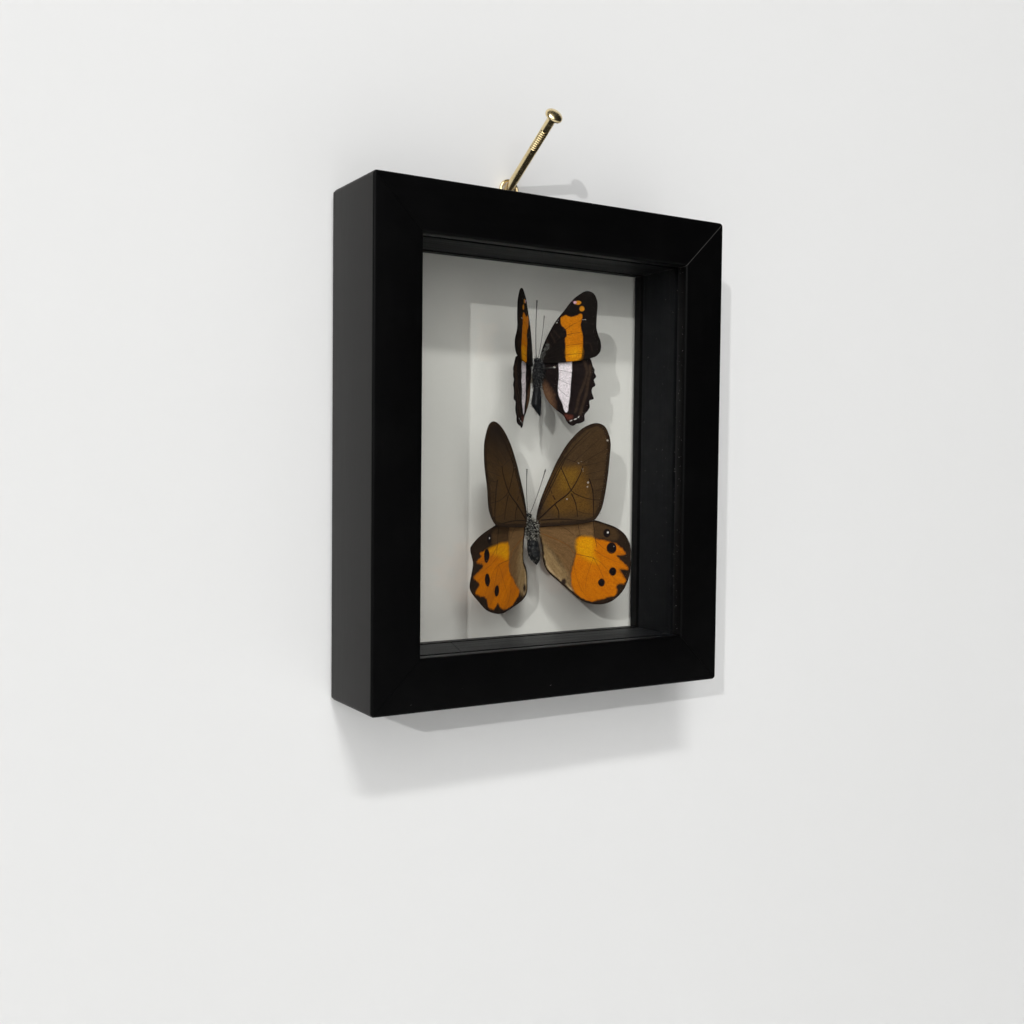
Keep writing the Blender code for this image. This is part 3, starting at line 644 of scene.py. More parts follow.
# ---------------------------------------------------------------------------
# Lower butterfly's wings
# Larger, thinner-scaled brown wings: an ochre field on the forewings, and on the
# hindwings orange with black eyespots inside a toothed brown margin.
# ---------------------------------------------------------------------------
LOWER = {"name": "lower", "x": 1.25, "z": 50.7, "hinge_y": 19.7, "hinge_x": 1.5,
         "fore_tilt": 24.0, "hind_tilt": 23.0, "left_drop": 0.0, "left_lean": 1.7}
LOWER_FORE_EDGE = [
    (0.2, 1.2), (0.3, 3.9), (1.0, 7.1), (2.2, 10.7), (4.3, 15.8), (6.5, 20.8), (9.7, 26.3), (13.4, 30.5),
    (16.6, 32.6), (19.4, 33.2), (21.7, 32.2), (23.1, 29.7), (23.8, 26.5), (23.6, 22.4), (23.3, 18.7),
    (22.7, 14.1), (22.0, 9.5), (21.1, 5.8), (19.3, 2.8), (17.4, 1.7), (12.8, 0.9), (7.7, 0.5), (0.8, 0.1),
]
LOWER_HIND_EDGE = [
    (0.8, 0.0), (5.0, 1.8), (11.0, 3.0), (16.0, 3.0), (19.5, 2.3), (22.6, 1.4), (26.4, 0.0), (29.2, -2.0),
    (30.9, -4.6), (31.5, -7.2), (31.3, -9.4), (31.5, -11.6), (31.4, -13.9), (30.8, -16.9), (29.4, -20.0),
    (27.2, -22.5), (24.4, -24.3), (21.1, -24.9), (17.3, -24.3), (13.9, -22.4), (11.6, -20.5), (8.7, -18.0),
    (5.9, -15.7), (4.0, -13.6), (2.9, -10.8), (2.5, -7.6), (2.0, -4.4),
]
LOWER_HIND_EDGE_LEFT = [
    (0.8, 0.0), (5.0, 1.8), (11.0, 2.4), (15.1, 1.5), (22.1, -1.0), (27.0, -3.7), (28.7, -5.7), (27.7, -9.7),
    (28.2, -13.2), (28.6, -17.4), (24.8, -21.4), (19.8, -24.6), (14.1, -26.2), (8.3, -25.4), (2.4, -23.2),
    (-0.6, -20.8), (-0.7, -17.2), (-0.2, -13.6), (1.2, -10.8), (1.5, -7.9), (1.3, -4.4),
]
LOWER_FORE_VEINS = {
    "v_main": ([(1.0, 2.5), (6.0, 7.3), (10.8, 11.3), (14.0, 16.8), (14.9, 19.8)], 0.26),
    "v_cost": ([(0.6, 4.8), (3.4, 11.2), (7.9, 20.2), (12.5, 26.2), (17.1, 30.8)], 0.2),
    "v_radial": ([(0.5, 3.9), (3.0, 8.9), (5.2, 13.5), (7.9, 19.0), (9.3, 21.8)], 0.2),
    "v_a": ([(7.9, 19.0), (9.8, 14.9), (11.7, 11.3), (15.5, 9.5), (17.8, 9.0), (21.8, 8.6)], 0.17),
    "v_b": ([(6.0, 7.3), (7.2, 5.3), (7.4, 2.6)], 0.22),
    "v_c": ([(11.3, 10.8), (12.7, 7.6), (13.5, 3.2)], 0.2),
    "v_d": ([(17.0, 15.6), (18.2, 11.3), (18.6, 4.0), (18.6, 2.2)], 0.24),
    "v_e": ([(1.6, 2.2), (8.1, 2.6), (18.6, 1.9)], 0.2),
    "v_f": ([(9.3, 21.8), (12.1, 20.9), (14.9, 19.5)], 0.1),
    "v_g": ([(13.4, 5.3), (16.0, 4.4), (21.0, 4.4)], 0.08),
    "v_1": ([(14.9, 19.5), (22.9, 21.4)], 0.08), "v_2": ([(15.9, 16.8), (22.9, 18.6)], 0.08),
    "v_3": ([(17.3, 15.0), (22.4, 15.6)], 0.08), "v_4": ([(12.1, 20.9), (17.1, 25.5), (21.8, 29.7)], 0.08),
    "v_5": ([(9.3, 21.8), (14.8, 27.2), (19.9, 31.9)], 0.08), "v_6": ([(18.1, 12.0), (22.0, 11.6)], 0.08),
    "v_7": ([(14.4, 20.4), (19.5, 23.4), (23.3, 25.6)], 0.08),
}
LOWER_FORE_MARKS = {
    "ochre": {"patches": [[
        (3.4, 7.7), (4.6, 13.0), (7.2, 18.4), (9.8, 19.0), (14.9, 19.3), (15.8, 17.2), (17.0, 13.1),
        (17.6, 8.6),
        (18.2, 4.9), (13.7, 4.6), (8.1, 4.3), (4.8, 5.4)]]},
    "glow": {"patches": [[(7.4, 17.6), (10.0, 18.6), (13.2, 18.4), (13.0, 14.6), (10.0, 11.6), (7.6, 12.4)]]},
    "dashes": {"lines": [([(4.2, 13.2), (4.5, 12.6)], 0.2), ([(4.8, 11.6), (5.1, 10.8)], 0.18),
                         ([(5.4, 10.0), (6.1, 8.9)], 0.22)]},
    # the tip patch is used only on the left forewing, as painted shade at its top
    "tip": {"patches": [[(2.0, 26.0), (26.0, 26.0), (26.0, 36.0), (2.0, 36.0)]]},
    "scratch": {"discs": [(13.5, 20.4, 0.3, 0.7), (14.3, 20.9, 0.2, 0.8), (16.0, 20.7, 0.25, 0.5),
        (14.8, 18.6, 0.3, 1.0),
                          (15.0, 17.8, 0.2, 1.2), (16.6, 14.3, 0.25, 1.1), (16.5, 12.9, 0.3, 1.2),
                          (9.9, 9.0, 0.3, 0.8), (22.8, 27.8, 0.3, 0.9)]},
}
LOWER_HIND_VEINS = {
    "v_1": ([(2.0, 0.0), (8.5, 0.2), (12.8, -2.5)], 0.1), "v_2": ([(14.1, 0.8), (14.9, -2.8)], 0.1),
    "v_3": ([(19.1, 1.7), (19.8, -3.5), (20.4, -6.5)], 0.13),
    "v_4": ([(2.5, -2.1), (8.1, -4.4), (11.4, -6.2), (13.3, -8.5), (19.4, -9.7)], 0.1),
    "v_5": ([(19.4, -9.7), (17.2, -15.9), (16.8, -20.6)], 0.08),
    "v_6": ([(19.8, -4.2), (24.2, -7.9), (29.6, -8.4)], 0.08),
    "v_7": ([(13.3, -8.5), (20.9, -10.8), (26.1, -16.4), (29.3, -18.8)], 0.08),
    "v_8": ([(12.9, -9.9), (13.4, -14.5), (15.8, -20.6), (19.1, -23.8)], 0.08),
    "v_9": ([(19.4, -7.2), (23.7, -9.9), (29.4, -12.0)], 0.08),
    "v_10": ([(19.4, -9.9), (21.9, -14.6), (24.3, -20.6)], 0.08),
}
LOWER_HIND_MARKS = {
    "orange": {"patches": [[
        (13.9, -5.8), (14.3, -3.3), (19.4, -3.5), (21.5, -4.0), (24.5, -4.7), (27.4, -5.9), (29.7, -8.6),
        (26.9, -9.1), (28.2, -10.6), (30.7, -13.4), (27.9, -13.5), (29.0, -15.5), (30.1, -17.9),
        (27.1, -18.6),
        (26.9, -21.9), (24.1, -22.4), (22.5, -23.1), (21.1, -23.3), (18.5, -24.3), (15.8, -23.3),
        (13.5, -21.2),
        (12.2, -18.0), (12.4, -13.5), (13.4, -9.6)]]},
    "yellow": {"patches": [[(14.4, -3.7), (19.2, -3.8), (19.4, -8.6), (20.9, -11.4), (17.6, -10.6),
        (14.0, -7.8)]]},
    "top": {"patches": [[(19.6, 2.4), (23.0, 1.2), (26.4, -0.6), (27.4, -3.4), (25.0, -4.2), (22.4, -3.6),
        (19.6, -3.3)]]},
    "eyes": {"discs": [(23.6, -1.9, 1.15, 1.2), (25.15, -6.7, 1.6, 1.15), (25.7, -14.3, 1.2, 1.15),
                       (22.0, -17.8, 1.12, 1.15)]},
    "pupils": {"discs": [(23.9, -1.7, 0.3, 1.0), (25.9, -6.2, 0.14, 1.0)]},
    "inner": {"patches": [[
        (1.2, -3.2), (4.4, -6.4), (7.9, -10.8), (11.0, -15.5), (12.4, -20.8), (8.7, -18.3), (3.9, -14.0),
        (1.4, -9.0)]]},
    "cream": {"lines": [([(1.9, -7.0), (3.3, -11.4), (6.2, -15.4), (9.8, -18.4), (12.4, -20.6)], 0.5)]},
    "spot": {"discs": [(9.7, -17.6, 0.85, 1.3)]},
    "basal": {"patches": [[
        (0.0, 2.0), (19.6, 2.6), (19.6, -3.4), (14.2, -2.9), (13.4, -9.0), (12.2, -13.6), (12.3, -18.7),
        (8.5, -11.0), (4.2, -6.2), (0.0, -3.0)]]},
}
LOWER_HIND_MARKS_LEFT = {
    "orange": {"patches": [[
        (17.5, -5.5), (13.9, -4.5), (9.8, -4.2), (9.2, -9.0), (8.7, -13.4), (5.8, -17.3), (3.4, -20.1),
        (5.7, -23.3), (9.4, -25.2), (13.1, -24.5), (14.5, -22.9), (16.2, -24.4), (19.0, -23.7), (21.0, -20.7),
        (25.3, -19.4), (26.0, -18.2), (23.9, -16.2), (27.0, -14.0), (24.4, -12.6), (22.2, -10.6),
        (26.0, -9.5),
        (23.5, -8.1), (24.0, -7.0), (21.0, -6.2)]]},
    "yellow": {"patches": [[(15.0, -4.8), (9.9, -4.5), (9.7, -9.6), (13.3, -8.5), (18.0, -7.4),
        (21.6, -6.9)]]},
    "top": {"patches": [[(9.6, 1.8), (14.0, 1.0), (17.6, -1.0), (17.4, -4.6), (13.6, -4.2), (9.6, -3.9)]]},
    "eyes": {"discs": [(19.1, -2.8, 1.05, 1.5), (20.6, -7.9, 1.45, 1.5), (20.1, -15.3, 1.25, 1.6),
                       (15.0, -19.0, 1.25, 1.4)]},
    "pupils": {"discs": [(19.0, -2.6, 0.22, 1.2)]},
    "inner": {"patches": [[(0.8, -3.0), (4.0, -9.0), (4.6, -16.0), (3.0, -20.4), (-0.6, -20.8),
        (-0.7, -14.0)]]},
    "cream": {"lines": [([(0.9, -20.9), (0.1, -17.0), (0.6, -13.0)], 0.35)]},
    "spot": {"discs": [(0.9, -19.3, 0.75, 1.7)]},
    "basal": {"patches": [[
        (0.0, 2.0), (9.6, 2.6), (9.5, -4.0), (9.2, -9.0), (8.7, -13.4), (5.8, -17.3), (3.4, -20.1),
        (0.0, -21.0),
        (-1.4, -16.0), (0.0, -3.0)]]},
}
LEFT_SHIFT = (-4.7, -1.1)


def left_hindwing(points):
    """The left hindwing is set further round, so its pattern lies nearer to the body."""
    moved = []
    for point in points:
        u, v = point[:2]
        slide = LEFT_SHIFT[0] * min(1.0, max(0.0, u / 14.0)) - 0.008 * (v + 3.0) ** 2
        moved.append((u + slide, v + LEFT_SHIFT[1] * min(1.0, max(0.0, -v / 3.0)), *point[2:]))
    return moved


def open_tree(name, floats, **others):
    """A geometry tree with number inputs, others by socket kind, and a finish. Returns it and its inputs."""
    tree = bpy.data.node_groups.new(name, "GeometryNodeTree")
    kinds = {"Geometry": "Geometry", **dict.fromkeys(floats, "Float"), **others, "Finish": "Material"}
    for label, kind in kinds.items():
        tree.interface.new_socket(label, in_out="INPUT", socket_type="NodeSocket" + kind)
    tree.interface.new_socket("Geometry", in_out="OUTPUT", socket_type="NodeSocketGeometry")
    return tree, tree.nodes.new("NodeGroupInput")


def close_tree(tree, source, made):
    real = add_node(tree, "GeometryNodeRealizeInstances", Geometry=made)
    painted = add_node(tree, "GeometryNodeSetMaterial", Geometry=real.outputs[0],
                       Material=source.outputs["Finish"])
    sink = tree.nodes.new("NodeGroupOutput")
    tree.links.new(painted.outputs[0], sink.inputs[0])
    return tree


def vein_tree():
    """Geometry nodes: a tapering tube along each curve, sunk into the membrane."""
    tree, source = open_tree("wing_vein", ["Vein Radius"])
    ring = add_node(tree, "GeometryNodeCurvePrimitiveCircle", Resolution=6,
                    Radius=source.outputs["Vein Radius"])
    radius = tree.nodes.new("GeometryNodeInputRadius")
    tube = add_node(tree, "GeometryNodeCurveToMesh", Curve=source.outputs["Geometry"],
                    Profile_Curve=ring.outputs[0], Fill_Caps=True)
    if "Scale" in tube.inputs:
        tree.links.new(radius.outputs[0], tube.inputs["Scale"])
    return close_tree(tree, source, tube.outputs[0])


VEIN_TREE = vein_tree()
VEIN_RADIUS, VEIN_PROUD = 0.1, 0.03


def run_tree(source, tree, name, **values):
    """Runs a geometry tree on an object and keeps the result as a plain mesh."""
    modifier = source.modifiers.new("made", "NODES")
    modifier.node_group = tree
    for item in tree.interface.items_tree:
        key = item.name.replace(" ", "_").lower()
        if item.item_type == "SOCKET" and item.in_out == "INPUT" and key in values:
            modifier[item.identifier] = values[key]
    graph = bpy.context.evaluated_depsgraph_get()
    mesh = bpy.data.meshes.new_from_object(source.evaluated_get(graph))
    mesh.name = name
    bpy.data.objects.remove(source, do_unlink=True)
    mesh.shade_smooth()
    return mesh


def curve_source(name, lines, radii):
    """A curve object of smooth lines given as lists of places, with a radius factor at each point."""
    curve = bpy.data.curves.new(name, "CURVE")
    curve.dimensions = "3D"
    for line, factors in zip(lines, radii):
        spline = curve.splines.new("POLY")
        spline.points.add(len(line) - 1)
        for point, place, factor in zip(spline.points, line, factors):
            point.co = (*place, 1.0)
            point.radius = factor
    holder = bpy.data.objects.new(name, curve)
    bpy.context.scene.collection.objects.link(holder)
    return holder


def add_veins(kind, pair, side, veins, bend, finish, replaced, label="veins"):
    word = "right" if side > 0 else "left"
    name = kind["name"] + "_" + pair + "_" + label + "_" + word
    lines, radii = [], []
    for line, half in veins:
        spots = smooth_loop(line, VEIN_SPACING, False)
        proud = wing_surface(spots, bend) + VEIN_PROUD
        lines.append(wing_place(kind, pair, side, spots, proud).tolist())
        radii.append((np.linspace(1.0, 0.55, len(spots)) * half / VEIN_RADIUS).tolist())
    holder = curve_source(name, lines, radii)
    mesh = run_tree(holder, VEIN_TREE, name, vein_radius=VEIN_RADIUS * MM, finish=finish)
    settle(add_piece(name, mesh), [replaced + word])


def vein_finish(name, colour, paler):
    material, tree, shader = new_finish(name, Roughness=0.6, Specular_IOR_Level=0.06)
    paint(tree, shader, object_pattern(tree, (1, 1, 1), 700.0), colour, paler)
    return material


BROWN_VEIN = vein_finish("brown_vein", (0.006, 0.003, 0.002, 1), (0.016, 0.008, 0.004, 1))
RUST_VEIN = vein_finish("rust_vein", (0.10, 0.030, 0.003, 1), (0.19, 0.058, 0.004, 1))
BLACK_VEIN = vein_finish("black_vein", (0.004, 0.0022, 0.0015, 1), (0.009, 0.005, 0.003, 1))
BROWN, BROWN_LIGHT = (0.036, 0.020, 0.008, 1), (0.058, 0.033, 0.014, 1)
FORE_MARGIN = ("margin", 1.0, 0.35, (0.016, 0.009, 0.005, 1), (0.026, 0.015, 0.008, 1))
FORE_DASHES = ("dashes", 0.1, 0.06, (0.014, 0.006, 0.003, 1), (0.018, 0.008, 0.004, 1))
FORE_SCRATCH = ("scratch", 0.1, 0.2, (0.42, 0.38, 0.33, 1), (0.16, 0.12, 0.09, 1))
LOWER_FORE_FINISH = scale_finish("lower_forewing_scales", BROWN, BROWN_LIGHT, [
    FORE_MARGIN,
    ("ochre", 1.6, 0.3, (0.100, 0.050, 0.009, 1), (0.076, 0.036, 0.008, 1)),
    ("glow", 1.2, 0.3, (0.140, 0.072, 0.009, 1), (0.112, 0.056, 0.008, 1)),
    FORE_DASHES, FORE_SCRATCH,
], streaks=0.3, sheen=0.12)
# The left forewing gets its own darker copy of the scales, with weaker ochre, no paler middle and a dark tip:
# painted shade for the wing turned away from the lamps.
LOWER_FORE_FINISH_LEFT_SHADED = scale_finish("lower_forewing_scales_left", BROWN, BROWN_LIGHT, [
    ("ochre", 2.4, 0.3, (0.064, 0.034, 0.010, 1), (0.050, 0.026, 0.009, 1)),
    ("tip", 5.5, 0.3, (0.010, 0.006, 0.004, 1), (0.014, 0.008, 0.005, 1)),
    FORE_MARGIN, FORE_DASHES,
], streaks=0.3, sheen=0.08)
RIM_SCALES, RIM_TIPS = (0.012, 0.007, 0.004, 1), (0.024, 0.014, 0.008, 1)
LOWER_HIND_FINISH = scale_finish("lower_hindwing_scales", RIM_SCALES, RIM_TIPS, [
    ("basal", 0.5, 0.2, (0.165, 0.092, 0.036, 1), (0.095, 0.052, 0.022, 1)),
    ("inner", 1.0, 0.4, (0.27, 0.18, 0.085, 1), (0.15, 0.095, 0.042, 1)),
    ("cream", 0.5, 0.3, (0.50, 0.38, 0.22, 1), (0.30, 0.20, 0.10, 1)),
    ("orange", 0.35, 0.30, (0.50, 0.150, 0.002, 1), (0.40, 0.100, 0.001, 1)),
    ("yellow", 0.9, 0.2, (0.60, 0.275, 0.002, 1), (0.52, 0.20, 0.002, 1)),
    ("top", 0.6, 0.3, (0.062, 0.034, 0.014, 1), (0.042, 0.023, 0.010, 1)),
    ("spot", 0.35, 0.12, (0.02, 0.012, 0.01, 1), (0.03, 0.018, 0.012, 1)),
    ("eyes", 0.12, 0.08, (0.004, 0.003, 0.003, 1), (0.007, 0.004, 0.004, 1)),
    ("pupils", 0.1, 0.03, (0.8, 0.78, 0.76, 1), (0.7, 0.68, 0.66, 1)),
    ("margin", 0.5, 0.3, (0.014, 0.008, 0.005, 1), (0.020, 0.012, 0.008, 1)),
], streaks=0.22, sheen=0.1)
LOWER_FORE_BEND = {"camber": 0.7, "span": 34.0, "ripple": 0.22, "folds": 15.0, "curl": 0.5}
LOWER_HIND_BEND = {"camber": -0.3, "span": 31.0, "ripple": 0.22, "folds": 17.0, "curl": 0.3}
for side in (-1, 1):
    # the left forewing takes the copy with painted shade
    fore_finish = LOWER_FORE_FINISH if side > 0 else LOWER_FORE_FINISH_LEFT_SHADED
    add_wing(LOWER, "fore", side, LOWER_FORE_EDGE, LOWER_FORE_BEND, LOWER_FORE_MARKS,
             fore_finish, "lower_forewing_")
    add_veins(LOWER, "fore", side, LOWER_FORE_VEINS.values(), LOWER_FORE_BEND, BROWN_VEIN, "lower_forewing_")
    hind_edge = LOWER_HIND_EDGE if side > 0 else LOWER_HIND_EDGE_LEFT
    hind_marks = LOWER_HIND_MARKS if side > 0 else LOWER_HIND_MARKS_LEFT
    hind_veins = list(LOWER_HIND_VEINS.values())
    if side < 0:
        hind_veins = [(left_hindwing(line), half) for line, half in hind_veins]
    base_veins, field_veins = hind_veins[:3], hind_veins[3:]
    add_wing(LOWER, "hind", side, hind_edge, LOWER_HIND_BEND, hind_marks,
             LOWER_HIND_FINISH, "lower_hindwing_")
    add_veins(LOWER, "hind", side, base_veins, LOWER_HIND_BEND, BROWN_VEIN, "lower_hindwing_", "base_veins")
    add_veins(LOWER, "hind", side, field_veins, LOWER_HIND_BEND, RUST_VEIN, "lower_hindwing_")
UPPER_BAND_VEINS = [
    ([(0.8, 1.5), (4.6, 6.6), (8.7, 10.1), (13.0, 12.5), (17.6, 15.2)], 0.09),
    ([(0.8, 1.0), (5.0, 6.0), (8.5, 8.0), (13.4, 8.9), (17.9, 10.0)], 0.09),
    ([(0.8, 0.6), (5.0, 3.4), (8.4, 4.6), (13.6, 5.3), (18.9, 5.6)], 0.09),
    ([(0.8, 0.2), (4.6, 1.2), (8.4, 1.8), (13.1, 2.2), (18.4, 2.4)], 0.09),
]
UPPER_HIND_VEINS = [
    ([(0.8, -1.2), (6.5, -2.8), (10.5, -3.6), (17.6, -5.2)], 0.07),
    ([(0.8, -1.6), (6.5, -5.6), (10.4, -7.4), (17.0, -9.4)], 0.07),
    ([(0.9, -2.0), (6.2, -8.2), (10.0, -11.4), (16.0, -14.4)], 0.07),
    ([(1.0, -2.6), (5.4, -9.4), (8.9, -14.0), (14.0, -18.2)], 0.07),
]
for side in (-1, 1):
    add_veins(UPPER, "fore", side, UPPER_BAND_VEINS, UPPER_FORE_BEND, BLACK_VEIN, "upper_forewing_")
    add_veins(UPPER, "hind", side, UPPER_HIND_VEINS, UPPER_HIND_BEND, BLACK_VEIN, "upper_hindwing_")

# ---------------------------------------------------------------------------
# Bodies
# Dried insect bodies: a head with two round eyes, a thorax furred with pale grey
# hair, and a ringed slate-black abdomen that tapers to a point.
# ---------------------------------------------------------------------------
UPPER_BODY = {
    "x": 2.17, "y": 18.4, "z": 100.8, "head": (-0.35, 2.3, 0.95), "waist": -5.9,
    "stations": [
        (-0.35, 3.25, 0.06), (-0.35, 2.95, 0.6), (-0.35, 2.3, 0.9), (-0.1, 1.8, 0.9), (0.28, 1.3, 1.4),
        (0.1, -0.5, 1.66), (-0.25, -3.0, 1.56), (-0.31, -5.0, 1.26), (-0.31, -6.2, 1.1), (-0.24, -7.7, 1.36),
        (-0.42, -10.0, 1.58), (-0.48, -11.5, 1.62), (0.26, -13.4, 0.9), (1.06, -15.15, 0.06)]}
LOWER_BODY = {
    "x": 1.24, "y": 19.45, "z": 50.3, "head": (-1.26, 4.1, 0.8), "waist": -3.2,
    "stations": [
        (-1.26, 4.88, 0.06), (-1.26, 4.65, 0.46), (-1.26, 4.1, 0.76), (-1.0, 3.3, 0.68), (-0.5, 2.6, 1.2),
        (-0.06, 1.7, 1.8), (0.0, -0.2, 1.9), (0.02, -1.8, 1.84), (0.25, -3.2, 1.5), (0.5, -4.6, 1.9),
        (0.7, -6.6, 2.05), (1.1, -8.5, 2.1), (1.5, -10.1, 1.46), (1.9, -11.65, 0.06)]}
AROUND, BODY_RINGS, SEGMENTS = 26, 90, 7.0


def body_place(body):
    corner = Vector((CENTER_X, FRONT_Y, BOTTOM_Z))
    return Matrix.Translation(corner + Vector((body["x"], body["y"], body["z"])) * MM)


def body_mesh(name, body):
    """Head, thorax and abdomen as one lofted skin, with ringed segments, and the two eyes."""
    across, heights, widths = (np.array(column)[::-1] for column in zip(*body["stations"]))
    waist, tip = body["waist"], heights[0]
    bm = bmesh.new()
    rings = []
    pile = bm.verts.layers.float.new("pile")
    for z in np.linspace(tip, heights[-1], BODY_RINGS):
        r, middle = float(np.interp(z, heights, widths)), float(np.interp(z, heights, across))
        along = (waist - z) / (waist - tip)
        if along > 0.0:
            r *= 1.0 - 0.05 * (0.5 + 0.5 * math.cos(2 * math.pi * along * SEGMENTS)) ** 3
        ring = []
        for i in range(AROUND):
            t = 2 * math.pi * i / AROUND
            vert = bm.verts.new((middle + r * math.cos(t), 0.94 * r * math.sin(t), z))
            vert[pile] = 1.0 if z > waist - 0.3 else 0.1
            ring.append(vert)
        rings.append(ring)
    for a, b in zip(rings, rings[1:]):
        for i in range(AROUND):
            j = (i + 1) % AROUND
            bm.faces.new((a[i], b[i], b[j], a[j]))
    bm.faces.new(list(reversed(rings[0])))
    bm.faces.new(rings[-1])
    head_x, head_z, head = body["head"]
    for side in (-1, 1):
        eye = bmesh.ops.create_uvsphere(bm, u_segments=16, v_segments=10, radius=0.66 * head)["verts"]
        bmesh.ops.scale(bm, verts=eye, vec=(0.85, 1.0, 1.05))
        middle = (head_x + side * 0.72 * head, -0.23 * head, head_z + 0.09 * head)
        bmesh.ops.translate(bm, verts=eye, vec=middle)
    bmesh.ops.recalc_face_normals(bm, faces=bm.faces)
    bm.transform(body_place(body) @ Matrix.Scale(MM, 4))
    mesh = bpy.data.meshes.new(name + "_skin")
    bm.to_mesh(mesh)
    bm.free()
    mesh.shade_smooth()
    return mesh


def skin_finish():
    material, tree, shader = new_finish("slate_body_scales", Specular_IOR_Level=0.12)
    cloud = object_pattern(tree, (1, 1, 1), 1400.0, 4.0, 0.65)
    paint(tree, shader, cloud, (0.002, 0.0023, 0.0030, 1), (0.0075, 0.0085, 0.0105, 1))
    roughen(tree, shader, cloud, 0.3, 0.7, 0.42, 0.7)
    add_bump(tree, shader, cloud, 0.06 * MM, 0.8)
    return material


def pile_tree():
    """Geometry nodes: tapering hairs stood on a surface, leaning along a comb direction."""
    floats = ["Density", "Hair Length", "Hair Radius", "Spread"]
    tree, source = open_tree("hair_pile", floats, Comb="Vector", Seed="Int")
    pile = add_node(tree, "GeometryNodeInputNamedAttribute", {"data_type": "FLOAT"}, Name="pile")
    much = add_node(tree, "ShaderNodeMath", {"operation": "MULTIPLY"}, _0=pile.outputs[0],
                    _1=source.outputs["Density"])
    spots = add_node(tree, "GeometryNodeDistributePointsOnFaces", Mesh=source.outputs["Geometry"],
                     Density=much.outputs[0], Seed=source.outputs["Seed"])
    stray = add_node(tree, "FunctionNodeRandomValue", {"data_type": "FLOAT_VECTOR"},
                     _0=(-1.0, -1.0, -1.0), _1=(1.0, 1.0, 1.0), Seed=source.outputs["Seed"])
    loose = add_node(tree, "ShaderNodeVectorMath", {"operation": "SCALE"}, _0=stray.outputs[0],
                     Scale=source.outputs["Spread"])
    lean = add_node(tree, "ShaderNodeVectorMath", {"operation": "ADD"}, _0=spots.outputs["Normal"],
                    _1=source.outputs["Comb"])
    heading = add_node(tree, "ShaderNodeVectorMath", {"operation": "ADD"}, _0=lean.outputs[0],
                       _1=loose.outputs[0])
    turn = add_node(tree, "FunctionNodeAlignRotationToVector", {"axis": "Z"}, Vector=heading.outputs[0])
    hair = add_node(tree, "GeometryNodeMeshCone", {"fill_type": "NONE"}, Vertices=3, Side_Segments=1,
                    Radius_Top=0.0, Radius_Bottom=source.outputs["Hair Radius"],
                    Depth=source.outputs["Hair Length"])
    size = add_node(tree, "FunctionNodeRandomValue", {"data_type": "FLOAT"}, Seed=source.outputs["Seed"])
    size.inputs[2].default_value, size.inputs[3].default_value = 0.45, 1.25
    stood = add_node(tree, "GeometryNodeInstanceOnPoints", Points=spots.outputs["Points"],
                     Instance=hair.outputs["Mesh"], Rotation=turn.outputs[0], Scale=size.outputs[1])
    return close_tree(tree, source, stood.outputs[0])


def hair_finish(name, dark, pale):
    material, tree, shader = new_finish(name, Roughness=0.6, Specular_IOR_Level=0.15)
    mixed = remap(tree, object_pattern(tree, (1, 1, 1), 1700.0, 2.0, 0.6), 0.50, 0.60, 0.0, 1.0)
    paint(tree, shader, mixed, dark, pale)
    return material


PILE_TREE = pile_tree()
BODY_SKIN = skin_finish()
UPPER_HAIR = hair_finish("grey_hair", (0.004, 0.004, 0.005, 1), (0.15, 0.15, 0.15, 1))
LOWER_HAIR = hair_finish("pale_hair", (0.012, 0.010, 0.009, 1), (0.66, 0.64, 0.56, 1))


def add_body(name, body, hair, per_mm2, long, seed):
    skin = body_mesh(name, body)
    source = add_piece("hair_source", skin.copy())
    pile = run_tree(source, PILE_TREE, name + "_body_hair", density=per_mm2 * 1e6, hair_length=long * MM,
                    hair_radius=0.035 * MM, spread=0.45, comb=(0.0, -0.1, -0.5), seed=seed, finish=hair)
    settle(add_piece(name + "_body_skin", skin, [BODY_SKIN]), [name + "_body"])
    settle(add_piece(name + "_body_hair", pile), ())


add_body("upper", UPPER_BODY, UPPER_HAIR, 26.0, 1.1, 11)
add_body("lower", LOWER_BODY, LOWER_HAIR, 30.0, 1.0, 12)

# ---------------------------------------------------------------------------
# Antennae
# Two fine feelers on each head that stand up towards the front pane and thicken
# to a slim club. The lower pair is banded; the upper right one is bleached.
# ---------------------------------------------------------------------------
ANTENNA_RADIUS = 0.11 * MM
FEELER_POINTS, CLUB_FROM = 40, 0.8


def banded_finish(name, dark, band):
    material, tree, shader = new_finish(name, Roughness=0.5)
    along = add_node(tree, "ShaderNodeTexCoord").outputs["Object"]
    wave = add_node(tree, "ShaderNodeTexWave", {"bands_direction": "Z"}, Vector=along, Scale=480.0,
                    Distortion=0.0)
    pale = remap(tree, wave.outputs["Fac"], 0.78, 0.92, 0.0, 0.8)
    paint(tree, shader, pale, dark, band)
    return material


BANDED = banded_finish("banded_antenna", (0.008, 0.007, 0.006, 1), (0.35, 0.33, 0.3, 1))
PLAIN = banded_finish("plain_antenna", (0.006, 0.005, 0.005, 1), (0.03, 0.028, 0.025, 1))
FADED = banded_finish("faded_antenna", (0.16, 0.155, 0.145, 1), (0.30, 0.29, 0.27, 1))


